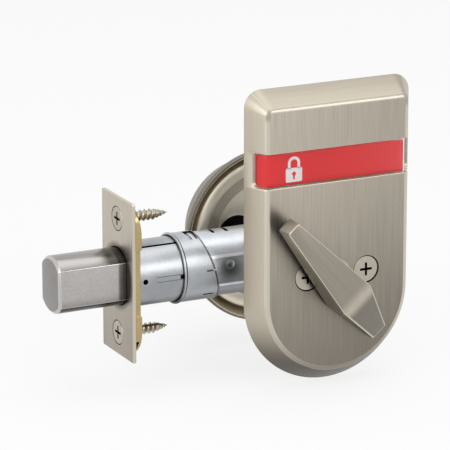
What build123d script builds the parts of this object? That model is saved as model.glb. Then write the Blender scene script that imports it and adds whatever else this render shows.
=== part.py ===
from build123d import *
import os
from math import atan, cos, degrees, radians, sin, sqrt

# A single-cylinder deadbolt for a wooden door, with a status window above the thumbturn.
# Millimetres. The origin is where the bolt's axis (X) crosses the spindle's axis (Y). The bolt
# shoots towards -X, the room side of the door is -Y, and +Z is up. The bolt is drawn thrown.

# Door and travel
BACKSET = 69.85
DOOR_THICKNESS = 44.45
THROW = 25.4
TURN_DEGREES = 90.0
FLAG_TRAVEL = 12.1

# Clearances
SLIDE_GAP = 0.1
TURN_GAP = 0.08
SEAT_GAP = 0.05
FREE_GAP = 0.3
LINK_GAP = 0.6
FLAG_LINK_GAP = 0.4

# Faceplate, strengthening plate and their screws
FACE_WIDTH = 25.4
FACE_HEIGHT = 57.15
FACE_THICKNESS = 1.3
FACE_CORNER = 0.6
BACKING_THICKNESS = 0.9
BACKING_BULGE = 2.3
BACKING_MARGIN = 5.45
BACKING_FLAT = 17.0
BACKING_NOTCH_HEIGHT = 24.0
BACKING_WEB = 1.0
BACKING_CORNER = 5.0
WOOD_SCREW_SPACING = 41.3
WOOD_SCREW_LENGTH = 19.05
WOOD_SCREW_CORE = 1.45
WOOD_SCREW_HEAD = 4.4
WOOD_SCREW_HEAD_DEPTH = 2.6
WOOD_SCREW_POINT = 4.0

# Bolt and its loose hardened pin
BOLT_LENGTH = 50.0
BOLT_RADIUS = 10.2
BOLT_WIDTH = 15.5
BOLT_CHAMFER = 0.85
SAW_PIN_RADIUS = 3.2
SAW_PIN_LENGTH = 30.0
SAW_PIN_INSET = 5.0
SAW_PIN_CHAMFER = 0.4

# Tubes of the bolt case
TUBE_WALL = 1.2
TUBE_REAR = -43.2
SEAM_WIDTH = 0.35
SEAM_START = 1.0
SEAM_ANGLE = 66.0
PEEP_RADIUS = 0.95
PEEP_X = -64.3
GROOVE_LENGTH = 10.4
GROOVE_WIDTH = 1.8
GROOVE_DEPTH = 0.5
COLLAR_RADIUS = 12.3
COLLAR_FRONT = -49.7
COLLAR_REAR = -37.3
COLLAR_SLANT = 3.4
COLLAR_LIP = 0.35
COLLAR_WINDOW_X = -43.1
COLLAR_WINDOW_LENGTH = 3.4
COLLAR_WINDOW_WIDTH = 7.0
COLLAR_WINDOW_ANGLE = 81.0
COLLAR_SLOT_X = -39.3
COLLAR_SLOT_LENGTH = 3.8
COLLAR_SLOT_WIDTH = 0.7
COLLAR_SLOT_ANGLES = (5.5, -42.0)
HOUSING_RADIUS = 11.7
HOUSING_WALL = 1.0
HOUSING_REAR = 18.2
HOUSING_FLATS = 21.4
HOUSING_FRONT = -43.0
HOUSING_SLOT_LENGTH = 4.4
HOUSING_SLOT_WIDTH = 1.2
HOUSING_SLOT_PITCH = 5.2
HOUSING_SLOT_FRONT = -33.8

# Drive: hub and crank arm, twin-sided yoke and its cross pin
HUB_RADIUS = 6.0
HUB_CHEEK = 7.2
HUB_CHEEK_THICKNESS = 2.0
HUB_PROUD = 0.5
ARM_THICKNESS = 3.4
ARM_WIDTH = 6.0
CRANK_PIN_RADIUS = 1.5
YOKE_GAP = 4.4
YOKE_PLATE = 2.0
YOKE_BAR_HEIGHT = 2.6
YOKE_HEAD_WALL = 1.6
YOKE_ROOT = 5.0
YOKE_INSERT = 9.6
YOKE_WEB = 2.0
YOKE_HALF_HEIGHT = 5.5
TAIL_PIN_RADIUS = 2.0
TAIL_PIN_INSET = 4.6
BLADE_WIDTH = 7.0
BLADE_THICKNESS = 1.5

# Long mounting screws and the posts that they enter
SCREW_SPACING = 22.9
SCREW_RADIUS = 1.85
SCREW_HEAD_RADIUS = 4.5
SCREW_HEAD_RIM = 0.9
SCREW_HEAD_CROWN = 1.1
POST_RADIUS = 2.7
POST_STUD_RADIUS = 1.5
POST_STUD_LENGTH = 5.0
POST_START = 13.0
SCREW_ENTRY = 9.0

# Cover on the room side
COVER_DEPTH = 8.8
COVER_HALF_WIDTH = 27.3
COVER_TOP = 61.1
COVER_ROUND_Z = -7.4
COVER_DRAFT = 5.0
COVER_TOP_DRAFT = 5.9
COVER_FRONT_CORNER = 2.2
COVER_REAR_CORNER = 6.5
COVER_ROUND_DROP = 1.1
COVER_INNER_CORNER = 0.6
COVER_EDGE = 1.1
COVER_WALL = 1.5
BOSS_WALL = 1.0
BOSS_DEPTH = 3.0
HEAD_HOLE_RADIUS = 4.85
HEAD_HOLE_DEPTH = 2.3

# Status window
WINDOW_BOTTOM = 33.3
WINDOW_HEIGHT = 12.22
WINDOW_WRAP = 5.5
WINDOW_CORNER = 1.8
FLAG_THICKNESS = 1.0
FLAG_WRAP = 3.4
LEG_WIDTH = 4.7
LEG_THICKNESS = 1.5
FORK_DEPTH = 0.9
FORK_WALL = 1.5
LEG_JOINT_HEIGHT = 3.5

# Plate on the door's face, and the block that guides the flag
INNER_PLATE_THICKNESS = 1.6
INNER_PLATE_INSET = 3.4
GUIDE_TOP = 56.5
GUIDE_BOTTOM = 15.5
GUIDE_HALF_WIDTH = 23.0
GUIDE_WALL = 1.6

# Thumbturn, lever and spindle
GRIP_ANGLE = 41.1
GRIP_OFFSET = 3.35
GRIP_NARROW_REACH = 33.1
GRIP_NARROW_WIDTH = 5.1
GRIP_CREASE_REACH = 5.0
GRIP_CREASE_WIDTH = 13.7
GRIP_TIP_REACH = 27.1
GRIP_TIP_WIDTH = 6.4
GRIP_FRONT = 14.3
GRIP_NARROW_BACK = 6.9
GRIP_HUB_BACK = 1.1
GRIP_TIP_FRONT = 3.5
GRIP_SLOPE = 0.45
GRIP_EDGE = 0.4
TANG_RADIUS = 3.0
TANG_LENGTH = 9.0
SPINDLE_RADIUS = 4.5
BUSH_WALL = 0.6
BUSH_RIM = 0.3
BUSH_PROUD = 0.5
CLIP_RADIUS = 5.4
CLIP_THICKNESS = 0.6
CLIP_GROOVE = 0.6
LIFT_ARM_THICKNESS = 1.3
LIFT_HUB_WALL = 1.5
LIFT_ARM_END = 0.9
LIFT_PIN_RADIUS = 0.8
LIFT_PIN_LENGTH = 1.0

# Outside: rose, liner, cylinder and plug
ROSE_RADIUS = 32.2
ROSE_RIM = 2.4
ROSE_DEPTH = 20.2
ROSE_FACE_RADIUS = 23.8
ROSE_SHOULDER_RADIUS = 27.3
ROSE_SHOULDER_DEPTH = 12.0
ROSE_WALL = 1.3
LINER_RIDGE_DEPTH = 1.3
LINER_CLEARANCE = 2.7
LINER_RIDGE_WIDTH = 4.7
LINER_DISH_WIDTH = 5.1
LINER_WALL = 1.4
LINER_CROWN = 1.2
LINER_SKIRT = 5.0
LOBE_RADIUS = 7.4
LOBE_SPACING = 20.8
LOBE_MIDDLE = 6.5
CYLINDER_RADIUS = 15.6
CYLINDER_BACK = 6.2
CYLINDER_FLANGE = 17.2
CYLINDER_FLANGE_THICKNESS = 1.2
PLUG_RADIUS = 6.35
KEYWAY_WIDTH = 2.2
KEYWAY_HEIGHT = 8.2
CAP_THICKNESS = 2.3
CAP_INSET = 0.5
TAIL_HEAD_RADIUS = 4.5
TAIL_HEAD_THICKNESS = 1.1

# Places that follow from the sizes
DOOR_IN = -DOOR_THICKNESS / 2
DOOR_OUT = DOOR_THICKNESS / 2
FACE_FRONT = -BACKSET
FACE_REAR = FACE_FRONT + FACE_THICKNESS
BACKING_REAR = FACE_REAR + BACKING_BULGE
BOLT_TIP = FACE_FRONT - THROW
BOLT_REAR = BOLT_TIP + BOLT_LENGTH
TUBE_INNER = BOLT_RADIUS + SLIDE_GAP
TUBE_RADIUS = TUBE_INNER + TUBE_WALL
HOUSING_INNER = HOUSING_RADIUS - HOUSING_WALL
COVER_FRONT = DOOR_IN - COVER_DEPTH
COVER_INNER = COVER_FRONT + COVER_WALL
HALF_TURN = radians(TURN_DEGREES / 2)
CRANK_RADIUS = THROW / 2 / sin(HALF_TURN)
CRANK_SIDE = CRANK_RADIUS * sin(HALF_TURN)
CRANK_LOW = CRANK_RADIUS * cos(HALF_TURN)
LIFT_RADIUS = FLAG_TRAVEL / 2 / sin(HALF_TURN)
LIFT_LOW = LIFT_RADIUS * sin(HALF_TURN)
SCREW_X = SCREW_SPACING / 2
LINER_RIDGE_OUTER = ROSE_RADIUS - ROSE_WALL - LINER_CLEARANCE
LINER_RIDGE_INNER = LINER_RIDGE_OUTER - LINER_RIDGE_WIDTH
LINER_FLOOR_OUTER = LINER_RIDGE_INNER - LINER_DISH_WIDTH


def block(x, y, z):
    """A box between the low and high value of each axis."""
    size = [pair[1] - pair[0] for pair in (x, y, z)]
    middle = [(pair[0] + pair[1]) / 2 for pair in (x, y, z)]
    return Pos(*middle) * Box(*size)


def rod_x(radius, x0, x1, y=0, z=0):
    """A round bar along X."""
    return Pos((x0 + x1) / 2, y, z) * Rot(0, 90, 0) * Cylinder(radius, x1 - x0)


def rod_y(radius, y0, y1, x=0, z=0):
    """A round bar along Y."""
    return Pos(x, (y0 + y1) / 2, z) * Rot(90, 0, 0) * Cylinder(radius, y1 - y0)


def turned_y(points, x=0, z=0):
    """A closed profile of (radius, y) points, turned about an axis along Y."""
    outline = make_face(Polyline(*[(r, y, 0) for r, y in points], close=True))
    return Pos(x, 0, z) * revolve(outline, Axis.Y)


def turned_x(points, z=0):
    """A closed profile of (x, radius) points, turned about an axis along X."""
    outline = make_face(Polyline(*[(x, r, 0) for x, r in points], close=True))
    return Pos(0, 0, z) * revolve(outline, Axis.X)


def slab_x(face, x0, x1):
    """A face drawn in Y and Z, made solid between two places on X."""
    return Pos(x0, 0, 0) * extrude(Plane.YZ * face, amount=x1 - x0)


def bolt_outline(radius, width):
    """A disc with two side flats, drawn in Y and Z."""
    return Circle(radius) & Rectangle(width, 2 * radius)


def make_deadbolt():
    body = slab_x(bolt_outline(BOLT_RADIUS, BOLT_WIDTH), BOLT_TIP, BOLT_REAR)
    body = chamfer(body.faces().sort_by(Axis.X)[0].edges(), BOLT_CHAMFER)
    bore = rod_x(SAW_PIN_RADIUS + SLIDE_GAP, BOLT_TIP + SAW_PIN_INSET, BOLT_REAR)
    half = YOKE_GAP / 2 + YOKE_PLATE + FREE_GAP
    slot = block((BOLT_REAR - YOKE_INSERT, BOLT_REAR), (-half, half), (-BOLT_RADIUS, BOLT_RADIUS))
    cross = rod_y(TAIL_PIN_RADIUS + SEAT_GAP, -BOLT_WIDTH, BOLT_WIDTH, BOLT_REAR - TAIL_PIN_INSET)
    return body - bore - slot - cross


def make_anti_saw_pin():
    start = BOLT_TIP + SAW_PIN_INSET
    pin = rod_x(SAW_PIN_RADIUS, start, start + SAW_PIN_LENGTH)
    return chamfer(pin.edges(), SAW_PIN_CHAMFER)


def make_tail_pin():
    reach = BOLT_WIDTH / 2 - SEAT_GAP
    return rod_y(TAIL_PIN_RADIUS, -reach, reach, BOLT_REAR - TAIL_PIN_INSET)


def make_bolt_tail():
    """A stamped yoke: two plates joined by a web, with a slotted head on each."""
    inner = YOKE_GAP / 2
    outer = inner + YOKE_PLATE
    front = BOLT_REAR - YOKE_INSERT + SEAT_GAP
    root = BOLT_REAR + YOKE_ROOT
    bar_low = HUB_RADIUS + FREE_GAP
    bar_high = bar_low + YOKE_BAR_HEIGHT
    head_half = yoke_head_half()
    slot_low = CRANK_LOW - CRANK_PIN_RADIUS - FREE_GAP
    slot_high = CRANK_RADIUS + CRANK_PIN_RADIUS + FREE_GAP
    head_top = slot_high + YOKE_HEAD_WALL
    side = block((front, root), (-outer, outer), (-YOKE_HALF_HEIGHT, bar_high))
    side += block((root, -CRANK_SIDE), (-outer, outer), (bar_low, bar_high))
    side += block((-CRANK_SIDE - head_half, -CRANK_SIDE + head_half), (-outer, outer), (bar_low, head_top))
    hollow = block((front + YOKE_WEB, 0), (-inner, inner), (-COVER_TOP, COVER_TOP))
    half = CRANK_PIN_RADIUS + LINK_GAP
    slot = block((-CRANK_SIDE - half, -CRANK_SIDE + half), (-outer, outer), (slot_low, slot_high))
    slot = fillet(slot.edges().filter_by(Axis.Y), CRANK_PIN_RADIUS)
    cross = rod_y(TAIL_PIN_RADIUS + SEAT_GAP, -outer, outer, BOLT_REAR - TAIL_PIN_INSET)
    return side - hollow - slot - cross


def screw_places():
    """Heights of the two wood screws."""
    return [-WOOD_SCREW_SPACING / 2, WOOD_SCREW_SPACING / 2]


def make_faceplate():
    plate = slab_x(RectangleRounded(FACE_WIDTH, FACE_HEIGHT, FACE_CORNER), FACE_FRONT, FACE_REAR)
    hole = bolt_outline(BOLT_RADIUS + FREE_GAP, BOLT_WIDTH + 2 * FREE_GAP)
    plate -= slab_x(hole, FACE_FRONT, FACE_REAR)
    for z in screw_places():
        plate -= head_cone(z, SEAT_GAP)
    return plate


def head_cone(z, gap):
    """The countersunk head of a wood screw, made larger all round by a gap."""
    wide = WOOD_SCREW_HEAD + gap
    core = WOOD_SCREW_CORE + gap
    end = FACE_FRONT + WOOD_SCREW_HEAD_DEPTH
    return turned_x([(FACE_FRONT, 0), (FACE_FRONT, wide), (end, core), (end, 0)], z)


def bowed_form(inset):
    """The bowed plate's outer form, drawn in by an inset."""
    edge = WOOD_SCREW_SPACING / 2 + BACKING_MARGIN - BACKING_FLAT
    bend = (BACKING_BULGE**2 + edge**2) / (2 * BACKING_BULGE)
    centre = BACKING_REAR - bend
    reach = (-FACE_WIDTH / 2, FACE_WIDTH / 2)
    form = block((centre, BACKING_REAR - inset), reach, (-BACKING_FLAT, BACKING_FLAT))
    for z in (-BACKING_FLAT, BACKING_FLAT):
        form += rod_y(bend - inset, *reach, centre, z)
    return form


def make_backing_plate():
    """The bowed strengthening plate: its ends rest on the faceplate, its middle on the tube."""
    outline = RectangleRounded(FACE_WIDTH, WOOD_SCREW_SPACING + 2 * BACKING_MARGIN, BACKING_CORNER)
    plate = slab_x(outline, FACE_REAR, BACKING_REAR) & bowed_form(0)
    plate -= bowed_form(BACKING_THICKNESS)
    plate -= rod_x(BOLT_RADIUS + FREE_GAP, FACE_REAR, BACKING_REAR)
    notch = BOLT_RADIUS + FREE_GAP + BACKING_WEB
    reach = (-BACKING_NOTCH_HEIGHT / 2, BACKING_NOTCH_HEIGHT / 2)
    for sides in ((-notch - FACE_WIDTH, -notch), (notch, notch + FACE_WIDTH)):
        plate -= block((FACE_REAR, BACKING_REAR), sides, reach)
    for z in screw_places():
        plate -= head_cone(z, SEAT_GAP)
        plate -= rod_x(WOOD_SCREW_CORE + FREE_GAP, FACE_REAR, BACKING_REAR, 0, z)
    return plate


def make_faceplate_screws():
    """Two wood screws: countersunk head, core and point."""
    screws = []
    end = FACE_FRONT + WOOD_SCREW_LENGTH
    for z in screw_places():
        core = [(FACE_FRONT + WOOD_SCREW_HEAD_DEPTH, 0), (FACE_FRONT + WOOD_SCREW_HEAD_DEPTH, WOOD_SCREW_CORE)]
        core += [(end - WOOD_SCREW_POINT, WOOD_SCREW_CORE), (end, 0)]
        screws.append(head_cone(z, 0) + turned_x(core, z))
    return Compound(children=screws)


def make_front_tube():
    tube = rod_x(TUBE_RADIUS, BACKING_REAR, TUBE_REAR) - rod_x(TUBE_INNER, BACKING_REAR, TUBE_REAR)
    seam = block((BACKING_REAR + SEAM_START, TUBE_REAR), (-COVER_TOP, 0), (-SEAM_WIDTH / 2, SEAM_WIDTH / 2))
    tube -= Rot(-SEAM_ANGLE, 0, 0) * seam
    tube -= rod_y(PEEP_RADIUS, -TUBE_RADIUS - TUBE_WALL, 0, PEEP_X)
    groove_start = COLLAR_FRONT - GROOVE_LENGTH
    groove = (groove_start, COLLAR_FRONT + TUBE_WALL), (-COVER_TOP, GROOVE_DEPTH - TUBE_RADIUS)
    tube -= block(*groove, (-GROOVE_WIDTH / 2, GROOVE_WIDTH / 2))
    return tube


def make_adjusting_collar():
    """The sleeve between the tubes, with a rolled front lip and a slanting rear edge."""
    tube_bore = TUBE_RADIUS + SEAT_GAP
    housing_bore = HOUSING_RADIUS + SEAT_GAP
    rear = COLLAR_REAR + COLLAR_SLANT
    profile = [(COLLAR_FRONT, tube_bore), (COLLAR_FRONT, COLLAR_RADIUS)]
    profile += [(COLLAR_FRONT + COLLAR_LIP, COLLAR_RADIUS + COLLAR_LIP)]
    profile += [(COLLAR_FRONT + 2 * COLLAR_LIP, COLLAR_RADIUS + COLLAR_LIP)]
    profile += [(COLLAR_FRONT + 3 * COLLAR_LIP, COLLAR_RADIUS), (rear, COLLAR_RADIUS)]
    profile += [(rear, housing_bore), (HOUSING_FRONT - FREE_GAP, housing_bore)]
    profile += [(HOUSING_FRONT - FREE_GAP, tube_bore)]
    sleeve = turned_x(profile)
    slant = degrees(atan(COLLAR_SLANT / COLLAR_RADIUS))
    big = 3 * COLLAR_RADIUS
    sleeve -= Pos(COLLAR_REAR, 0, 0) * Rot(0, -slant, 0) * block((0, big), (-big, big), (-big, big))
    sleeve -= case_cut(COLLAR_WINDOW_X, COLLAR_WINDOW_LENGTH, COLLAR_WINDOW_WIDTH, COLLAR_WINDOW_ANGLE)
    for angle in COLLAR_SLOT_ANGLES:
        sleeve -= case_cut(COLLAR_SLOT_X, COLLAR_SLOT_LENGTH, COLLAR_SLOT_WIDTH, angle)
    return sleeve


def case_cut(x, length, width, angle):
    """A cutter for a slot in the bolt case, at an angle above the room side."""
    reach = (-2 * COLLAR_RADIUS, -BOLT_RADIUS)
    cutter = block((x - length / 2, x + length / 2), reach, (-width / 2, width / 2))
    return Rot(-angle, 0, 0) * cutter


def yoke_head_half():
    return CRANK_PIN_RADIUS + LINK_GAP + YOKE_HEAD_WALL


def make_rear_housing():
    """The wide tube round the drive, with side flats, a closed end and an open top."""
    flats = Rectangle(HOUSING_FLATS, 2 * HOUSING_RADIUS)
    shell = slab_x(Circle(HOUSING_RADIUS) & flats, HOUSING_FRONT, HOUSING_REAR)
    inner_flats = Rectangle(HOUSING_FLATS - 2 * HOUSING_WALL, 2 * HOUSING_INNER)
    shell -= slab_x(Circle(HOUSING_INNER) & inner_flats, HOUSING_FRONT, HOUSING_REAR - HOUSING_WALL)
    sweep = CRANK_SIDE + yoke_head_half() + FREE_GAP
    half = YOKE_GAP / 2 + YOKE_PLATE + FREE_GAP
    shell -= block((-sweep, sweep), (-half, half), (0, HOUSING_RADIUS))
    shell -= rod_y(HUB_RADIUS + TURN_GAP, -HOUSING_FLATS, HOUSING_FLATS)
    for x in (-SCREW_X, SCREW_X):
        shell -= rod_y(SCREW_RADIUS + FREE_GAP, -HOUSING_FLATS, HOUSING_FLATS, x)
    for step in range(2):
        x = HOUSING_SLOT_FRONT + step * HOUSING_SLOT_PITCH
        shell -= case_cut(x, HOUSING_SLOT_WIDTH, HOUSING_SLOT_LENGTH, 90)
    return shell


def blade_slot(y0, y1):
    """The slot that the tailpiece's blade stands in."""
    half_width = BLADE_WIDTH / 2 + FREE_GAP
    half_thickness = BLADE_THICKNESS / 2 + FREE_GAP
    return block((-half_thickness, half_thickness), (y0, y1), (-half_width, half_width))


def make_drive_cam():
    """The hub between the side flats, with the crank arm in its middle."""
    reach = HOUSING_FLATS / 2 + HUB_PROUD
    cheek = sqrt(HOUSING_INNER**2 - HUB_CHEEK**2) - FREE_GAP
    hub = rod_y(HUB_RADIUS, -reach, reach)
    for side in (-1, 1):
        ends = sorted((side * cheek, side * (cheek - HUB_CHEEK_THICKNESS)))
        hub += rod_y(HUB_CHEEK, *ends)
    half = ARM_THICKNESS / 2
    angle = 90 + TURN_DEGREES / 2
    arm = block((0, CRANK_RADIUS), (-half, half), (-ARM_WIDTH / 2, ARM_WIDTH / 2))
    arm += rod_y(ARM_WIDTH / 2, -half, half, CRANK_RADIUS)
    hub += Rot(0, -angle, 0) * arm
    hub -= rod_y(CRANK_PIN_RADIUS + SEAT_GAP, -half, half, -CRANK_SIDE, CRANK_LOW)
    return hub - blade_slot(-reach, reach)


def make_crank_pin():
    half = YOKE_GAP / 2 + YOKE_PLATE
    return rod_y(CRANK_PIN_RADIUS, -half, half, -CRANK_SIDE, CRANK_LOW)


def cover_outline(y, inset):
    """The cover's outline at a place on Y: square at the top, half round below."""
    forward = (DOOR_IN - y) / COVER_DEPTH
    half = COVER_HALF_WIDTH + COVER_DRAFT * (1 - forward) - inset
    top = COVER_TOP + COVER_TOP_DRAFT * (1 - forward) - inset
    corner = COVER_REAR_CORNER + (COVER_FRONT_CORNER - COVER_REAR_CORNER) * forward - inset
    corner = max(corner, COVER_INNER_CORNER)
    low = COVER_ROUND_Z - COVER_ROUND_DROP * (1 - forward)
    lean = corner * (1 - sin(radians(45)))
    path = Line((-half, low), (-half, top - corner))
    path += ThreePointArc((-half, top - corner), (-half + lean, top - lean), (-half + corner, top))
    path += Line((-half + corner, top), (half - corner, top))
    path += ThreePointArc((half - corner, top), (half - lean, top - lean), (half, top - corner))
    path += Line((half, top - corner), (half, low))
    path += ThreePointArc((half, low), (0, low - half), (-half, low))
    return Pos(0, y, 0) * (Plane.XZ * make_face(path))


def cover_form(y0, y1, inset):
    """The drafted form of the cover between two places on Y, drawn in by an inset."""
    return loft([cover_outline(y0, inset), cover_outline(y1, inset)], ruled=True)


def window_cutter(gap):
    """The band of the window, across the front and round both sides, made smaller by a gap."""
    depth = 2 * WINDOW_WRAP
    band = RectangleRounded(2 * depth, WINDOW_HEIGHT - 2 * gap, WINDOW_CORNER - gap)
    band = Pos(COVER_FRONT + WINDOW_WRAP - gap - depth, WINDOW_BOTTOM + WINDOW_HEIGHT / 2) * band
    return slab_x(band, -2 * COVER_HALF_WIDTH, 2 * COVER_HALF_WIDTH)


def make_escutcheon():
    """The cover: a drafted shell with the window's band, two screw bosses and the bush hole."""
    body = cover_form(DOOR_IN, COVER_FRONT, 0)
    body = fillet(body.faces().sort_by(Axis.Y)[0].edges(), COVER_EDGE)
    body -= cover_form(DOOR_IN, COVER_INNER, COVER_WALL)
    for x in (-SCREW_X, SCREW_X):
        body += rod_y(HEAD_HOLE_RADIUS + BOSS_WALL, COVER_INNER, COVER_FRONT + BOSS_DEPTH, x)
        body -= rod_y(HEAD_HOLE_RADIUS, COVER_FRONT, COVER_FRONT + HEAD_HOLE_DEPTH, x)
        body -= rod_y(SCREW_RADIUS + FREE_GAP, COVER_FRONT, DOOR_IN, x)
    body -= rod_y(SPINDLE_RADIUS + TURN_GAP + BUSH_WALL + SEAT_GAP, COVER_FRONT, COVER_INNER)
    return body - window_cutter(0)


def make_window_lens():
    lens = cover_form(DOOR_IN, COVER_FRONT, 0) - cover_form(DOOR_IN, COVER_INNER, COVER_WALL)
    return lens & window_cutter(SEAT_GAP)


def make_status_flag():
    """The sliding flag: a band that wraps round both sides, and a leg with a fork."""
    front = COVER_INNER + FREE_GAP
    back = front + FLAG_WRAP
    skin = COVER_WALL + FREE_GAP
    band = cover_form(back, front, skin)
    band -= cover_form(back, front + FLAG_THICKNESS, skin + FLAG_THICKNESS)
    low = WINDOW_BOTTOM - FLAG_TRAVEL - FREE_GAP / 2
    high = WINDOW_BOTTOM + WINDOW_HEIGHT + FREE_GAP / 2
    band &= block((-COVER_TOP, COVER_TOP), (COVER_FRONT, DOOR_IN), (low, high))
    slot_half = LIFT_PIN_RADIUS + FLAG_LINK_GAP
    foot = -LIFT_LOW - slot_half - FORK_WALL
    leg = block(leg_x(), (leg_back() - LEG_THICKNESS, leg_back()), (foot, low + LEG_JOINT_HEIGHT))
    leg += block(leg_x(), (front, leg_back()), (low, low + LEG_JOINT_HEIGHT))
    fork = (leg_back() - FORK_DEPTH, leg_back())
    leg -= block(leg_x(), fork, (-LIFT_LOW - slot_half, -LIFT_LOW + slot_half))
    return band + leg


def leg_back():
    """The back of the flag's leg, just in front of the lever."""
    return COVER_FRONT + BOSS_DEPTH + FREE_GAP + LEG_THICKNESS


def leg_x():
    """The leg passes between the spindle and the left screw."""
    inner = -SPINDLE_RADIUS - FREE_GAP
    return (inner - LEG_WIDTH, inner)


def make_inner_plate():
    """The plate on the door's face, with holes for the blade and the screws."""
    face = cover_outline(DOOR_IN, INNER_PLATE_INSET)
    plate = extrude(face, amount=INNER_PLATE_THICKNESS, dir=(0, -1, 0))
    front = DOOR_IN - INNER_PLATE_THICKNESS
    plate -= rod_y(SPINDLE_RADIUS + FREE_GAP, front, DOOR_IN)
    for x in (-SCREW_X, SCREW_X):
        plate -= rod_y(SCREW_RADIUS + FREE_GAP, front, DOOR_IN, x)
    return plate


def make_flag_guide():
    """The hollow block behind the flag, open towards the door and slotted for the leg."""
    front = COVER_INNER + 2 * FREE_GAP + FLAG_THICKNESS
    back = DOOR_IN - INNER_PLATE_THICKNESS
    half = GUIDE_HALF_WIDTH
    guide = block((-half, half), (front, back), (GUIDE_BOTTOM, GUIDE_TOP))
    guide = fillet(guide.edges().filter_by(Axis.Y), GUIDE_WALL)
    inner = half - GUIDE_WALL
    hollow = (GUIDE_BOTTOM + GUIDE_WALL, GUIDE_TOP - GUIDE_WALL)
    guide -= block((-inner, inner), (front + GUIDE_WALL, back), hollow)
    slot = (leg_x()[0] - FREE_GAP, leg_x()[1] + FREE_GAP)
    top = WINDOW_BOTTOM + LEG_JOINT_HEIGHT + FREE_GAP
    guide -= block(slot, (front, leg_back() + FREE_GAP), (GUIDE_BOTTOM, top))
    return guide


def grip_section(reach, width, front, back):
    """A section across the grip, as corners in its own width and the part's Y."""
    corners = [(-width / 2, front), (width / 2, front)]
    corners += [(width / 2 + GRIP_SLOPE, back), (-width / 2 - GRIP_SLOPE, back)]
    points = [Vector(reach, y, GRIP_OFFSET + v) for v, y in corners]
    return make_face(Polyline(*points, close=True))


def make_thumbturn():
    """The faceted grip: narrow at its long end, widest at the crease over the spindle."""
    front = COVER_FRONT - GRIP_FRONT
    hub_back = COVER_FRONT - GRIP_HUB_BACK
    narrow = grip_section(GRIP_NARROW_REACH, GRIP_NARROW_WIDTH, front, COVER_FRONT - GRIP_NARROW_BACK)
    crease = grip_section(-GRIP_CREASE_REACH, GRIP_CREASE_WIDTH, front, hub_back)
    tip_front = COVER_FRONT - GRIP_TIP_FRONT
    tip = grip_section(-GRIP_TIP_REACH, GRIP_TIP_WIDTH, tip_front, hub_back)
    body = loft([narrow, crease], ruled=True) + loft([crease, tip], ruled=True)
    body = fillet(body.edges(), GRIP_EDGE)
    body = Rot(0, -90 - GRIP_ANGLE, 0) * body
    return body - rod_y(TANG_RADIUS + SEAT_GAP, hub_back - TANG_LENGTH, DOOR_IN)


def make_turn_spindle():
    """The spindle: a tang in the grip, a journal, the clip's groove and the blade's slot."""
    shoulder = COVER_FRONT - GRIP_HUB_BACK
    end = DOOR_IN - INNER_PLATE_THICKNESS - FREE_GAP
    spindle = rod_y(TANG_RADIUS, shoulder - TANG_LENGTH, shoulder) + rod_y(SPINDLE_RADIUS, shoulder, end)
    groove = rod_y(SPINDLE_RADIUS + CLIP_GROOVE, clip_front(), clip_front() + CLIP_THICKNESS + SLIDE_GAP)
    groove -= rod_y(SPINDLE_RADIUS - CLIP_GROOVE, clip_front(), clip_front() + CLIP_THICKNESS + SLIDE_GAP)
    return spindle - groove - blade_slot(COVER_INNER, end)


def bush_end():
    return COVER_INNER + BUSH_PROUD


def clip_front():
    return bush_end() + SLIDE_GAP


def make_turn_bushing():
    """The bush in the cover, with its rim against the inner face."""
    bore = SPINDLE_RADIUS + TURN_GAP
    bush = rod_y(bore + BUSH_WALL, COVER_FRONT, bush_end())
    bush += rod_y(bore + BUSH_WALL + BUSH_RIM, COVER_INNER, bush_end())
    return bush - rod_y(bore, COVER_FRONT, bush_end())


def make_spindle_clip():
    start = clip_front()
    end = start + CLIP_THICKNESS
    inner = SPINDLE_RADIUS - CLIP_GROOVE + SEAT_GAP
    clip = rod_y(CLIP_RADIUS, start, end) - rod_y(inner, start, end)
    return clip - block((0, 2 * CLIP_RADIUS), (start, end), (-CLIP_RADIUS / 2, CLIP_RADIUS / 2))


def make_lift_arm():
    """The lever on the spindle, with the pin that lifts the flag."""
    front = leg_back() + FREE_GAP
    back = front + LIFT_ARM_THICKNESS
    arm = rod_y(SPINDLE_RADIUS + LIFT_HUB_WALL, front, back)
    arm += Rot(0, 180 - TURN_DEGREES / 2, 0) * lift_finger(front, back)
    return arm - rod_y(SPINDLE_RADIUS + SEAT_GAP, front, back)


def lift_finger(front, back):
    half = LIFT_ARM_END
    finger = block((SPINDLE_RADIUS, LIFT_RADIUS), (front, back), (-half, half))
    finger += rod_y(half, front, back, LIFT_RADIUS)
    return finger + rod_y(LIFT_PIN_RADIUS, front - LIFT_PIN_LENGTH, front, LIFT_RADIUS)


def make_mounting_screws():
    """Two long oval-head screws, from the cover into the posts."""
    seat = COVER_FRONT + HEAD_HOLE_DEPTH
    top = seat - SCREW_HEAD_RIM - SCREW_HEAD_CROWN
    ball = (SCREW_HEAD_RADIUS**2 + SCREW_HEAD_CROWN**2) / (2 * SCREW_HEAD_CROWN)
    head = rod_y(SCREW_HEAD_RADIUS, top, seat) & (Pos(0, top + ball, 0) * Sphere(ball))
    screw = head + rod_y(SCREW_RADIUS, seat, POST_START + SCREW_ENTRY)
    return Compound(children=[Pos(x, 0, 0) * screw for x in (-SCREW_X, SCREW_X)])


def make_mounting_posts():
    """Two threaded posts on the cylinder's back."""
    back = DOOR_OUT + CYLINDER_BACK
    post = rod_y(POST_RADIUS, POST_START, back) + rod_y(POST_STUD_RADIUS, back, back + POST_STUD_LENGTH)
    post -= rod_y(SCREW_RADIUS + SEAT_GAP, POST_START, POST_START + SCREW_ENTRY + FREE_GAP)
    return Compound(children=[Pos(x, 0, 0) * post for x in (-SCREW_X, SCREW_X)])


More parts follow.
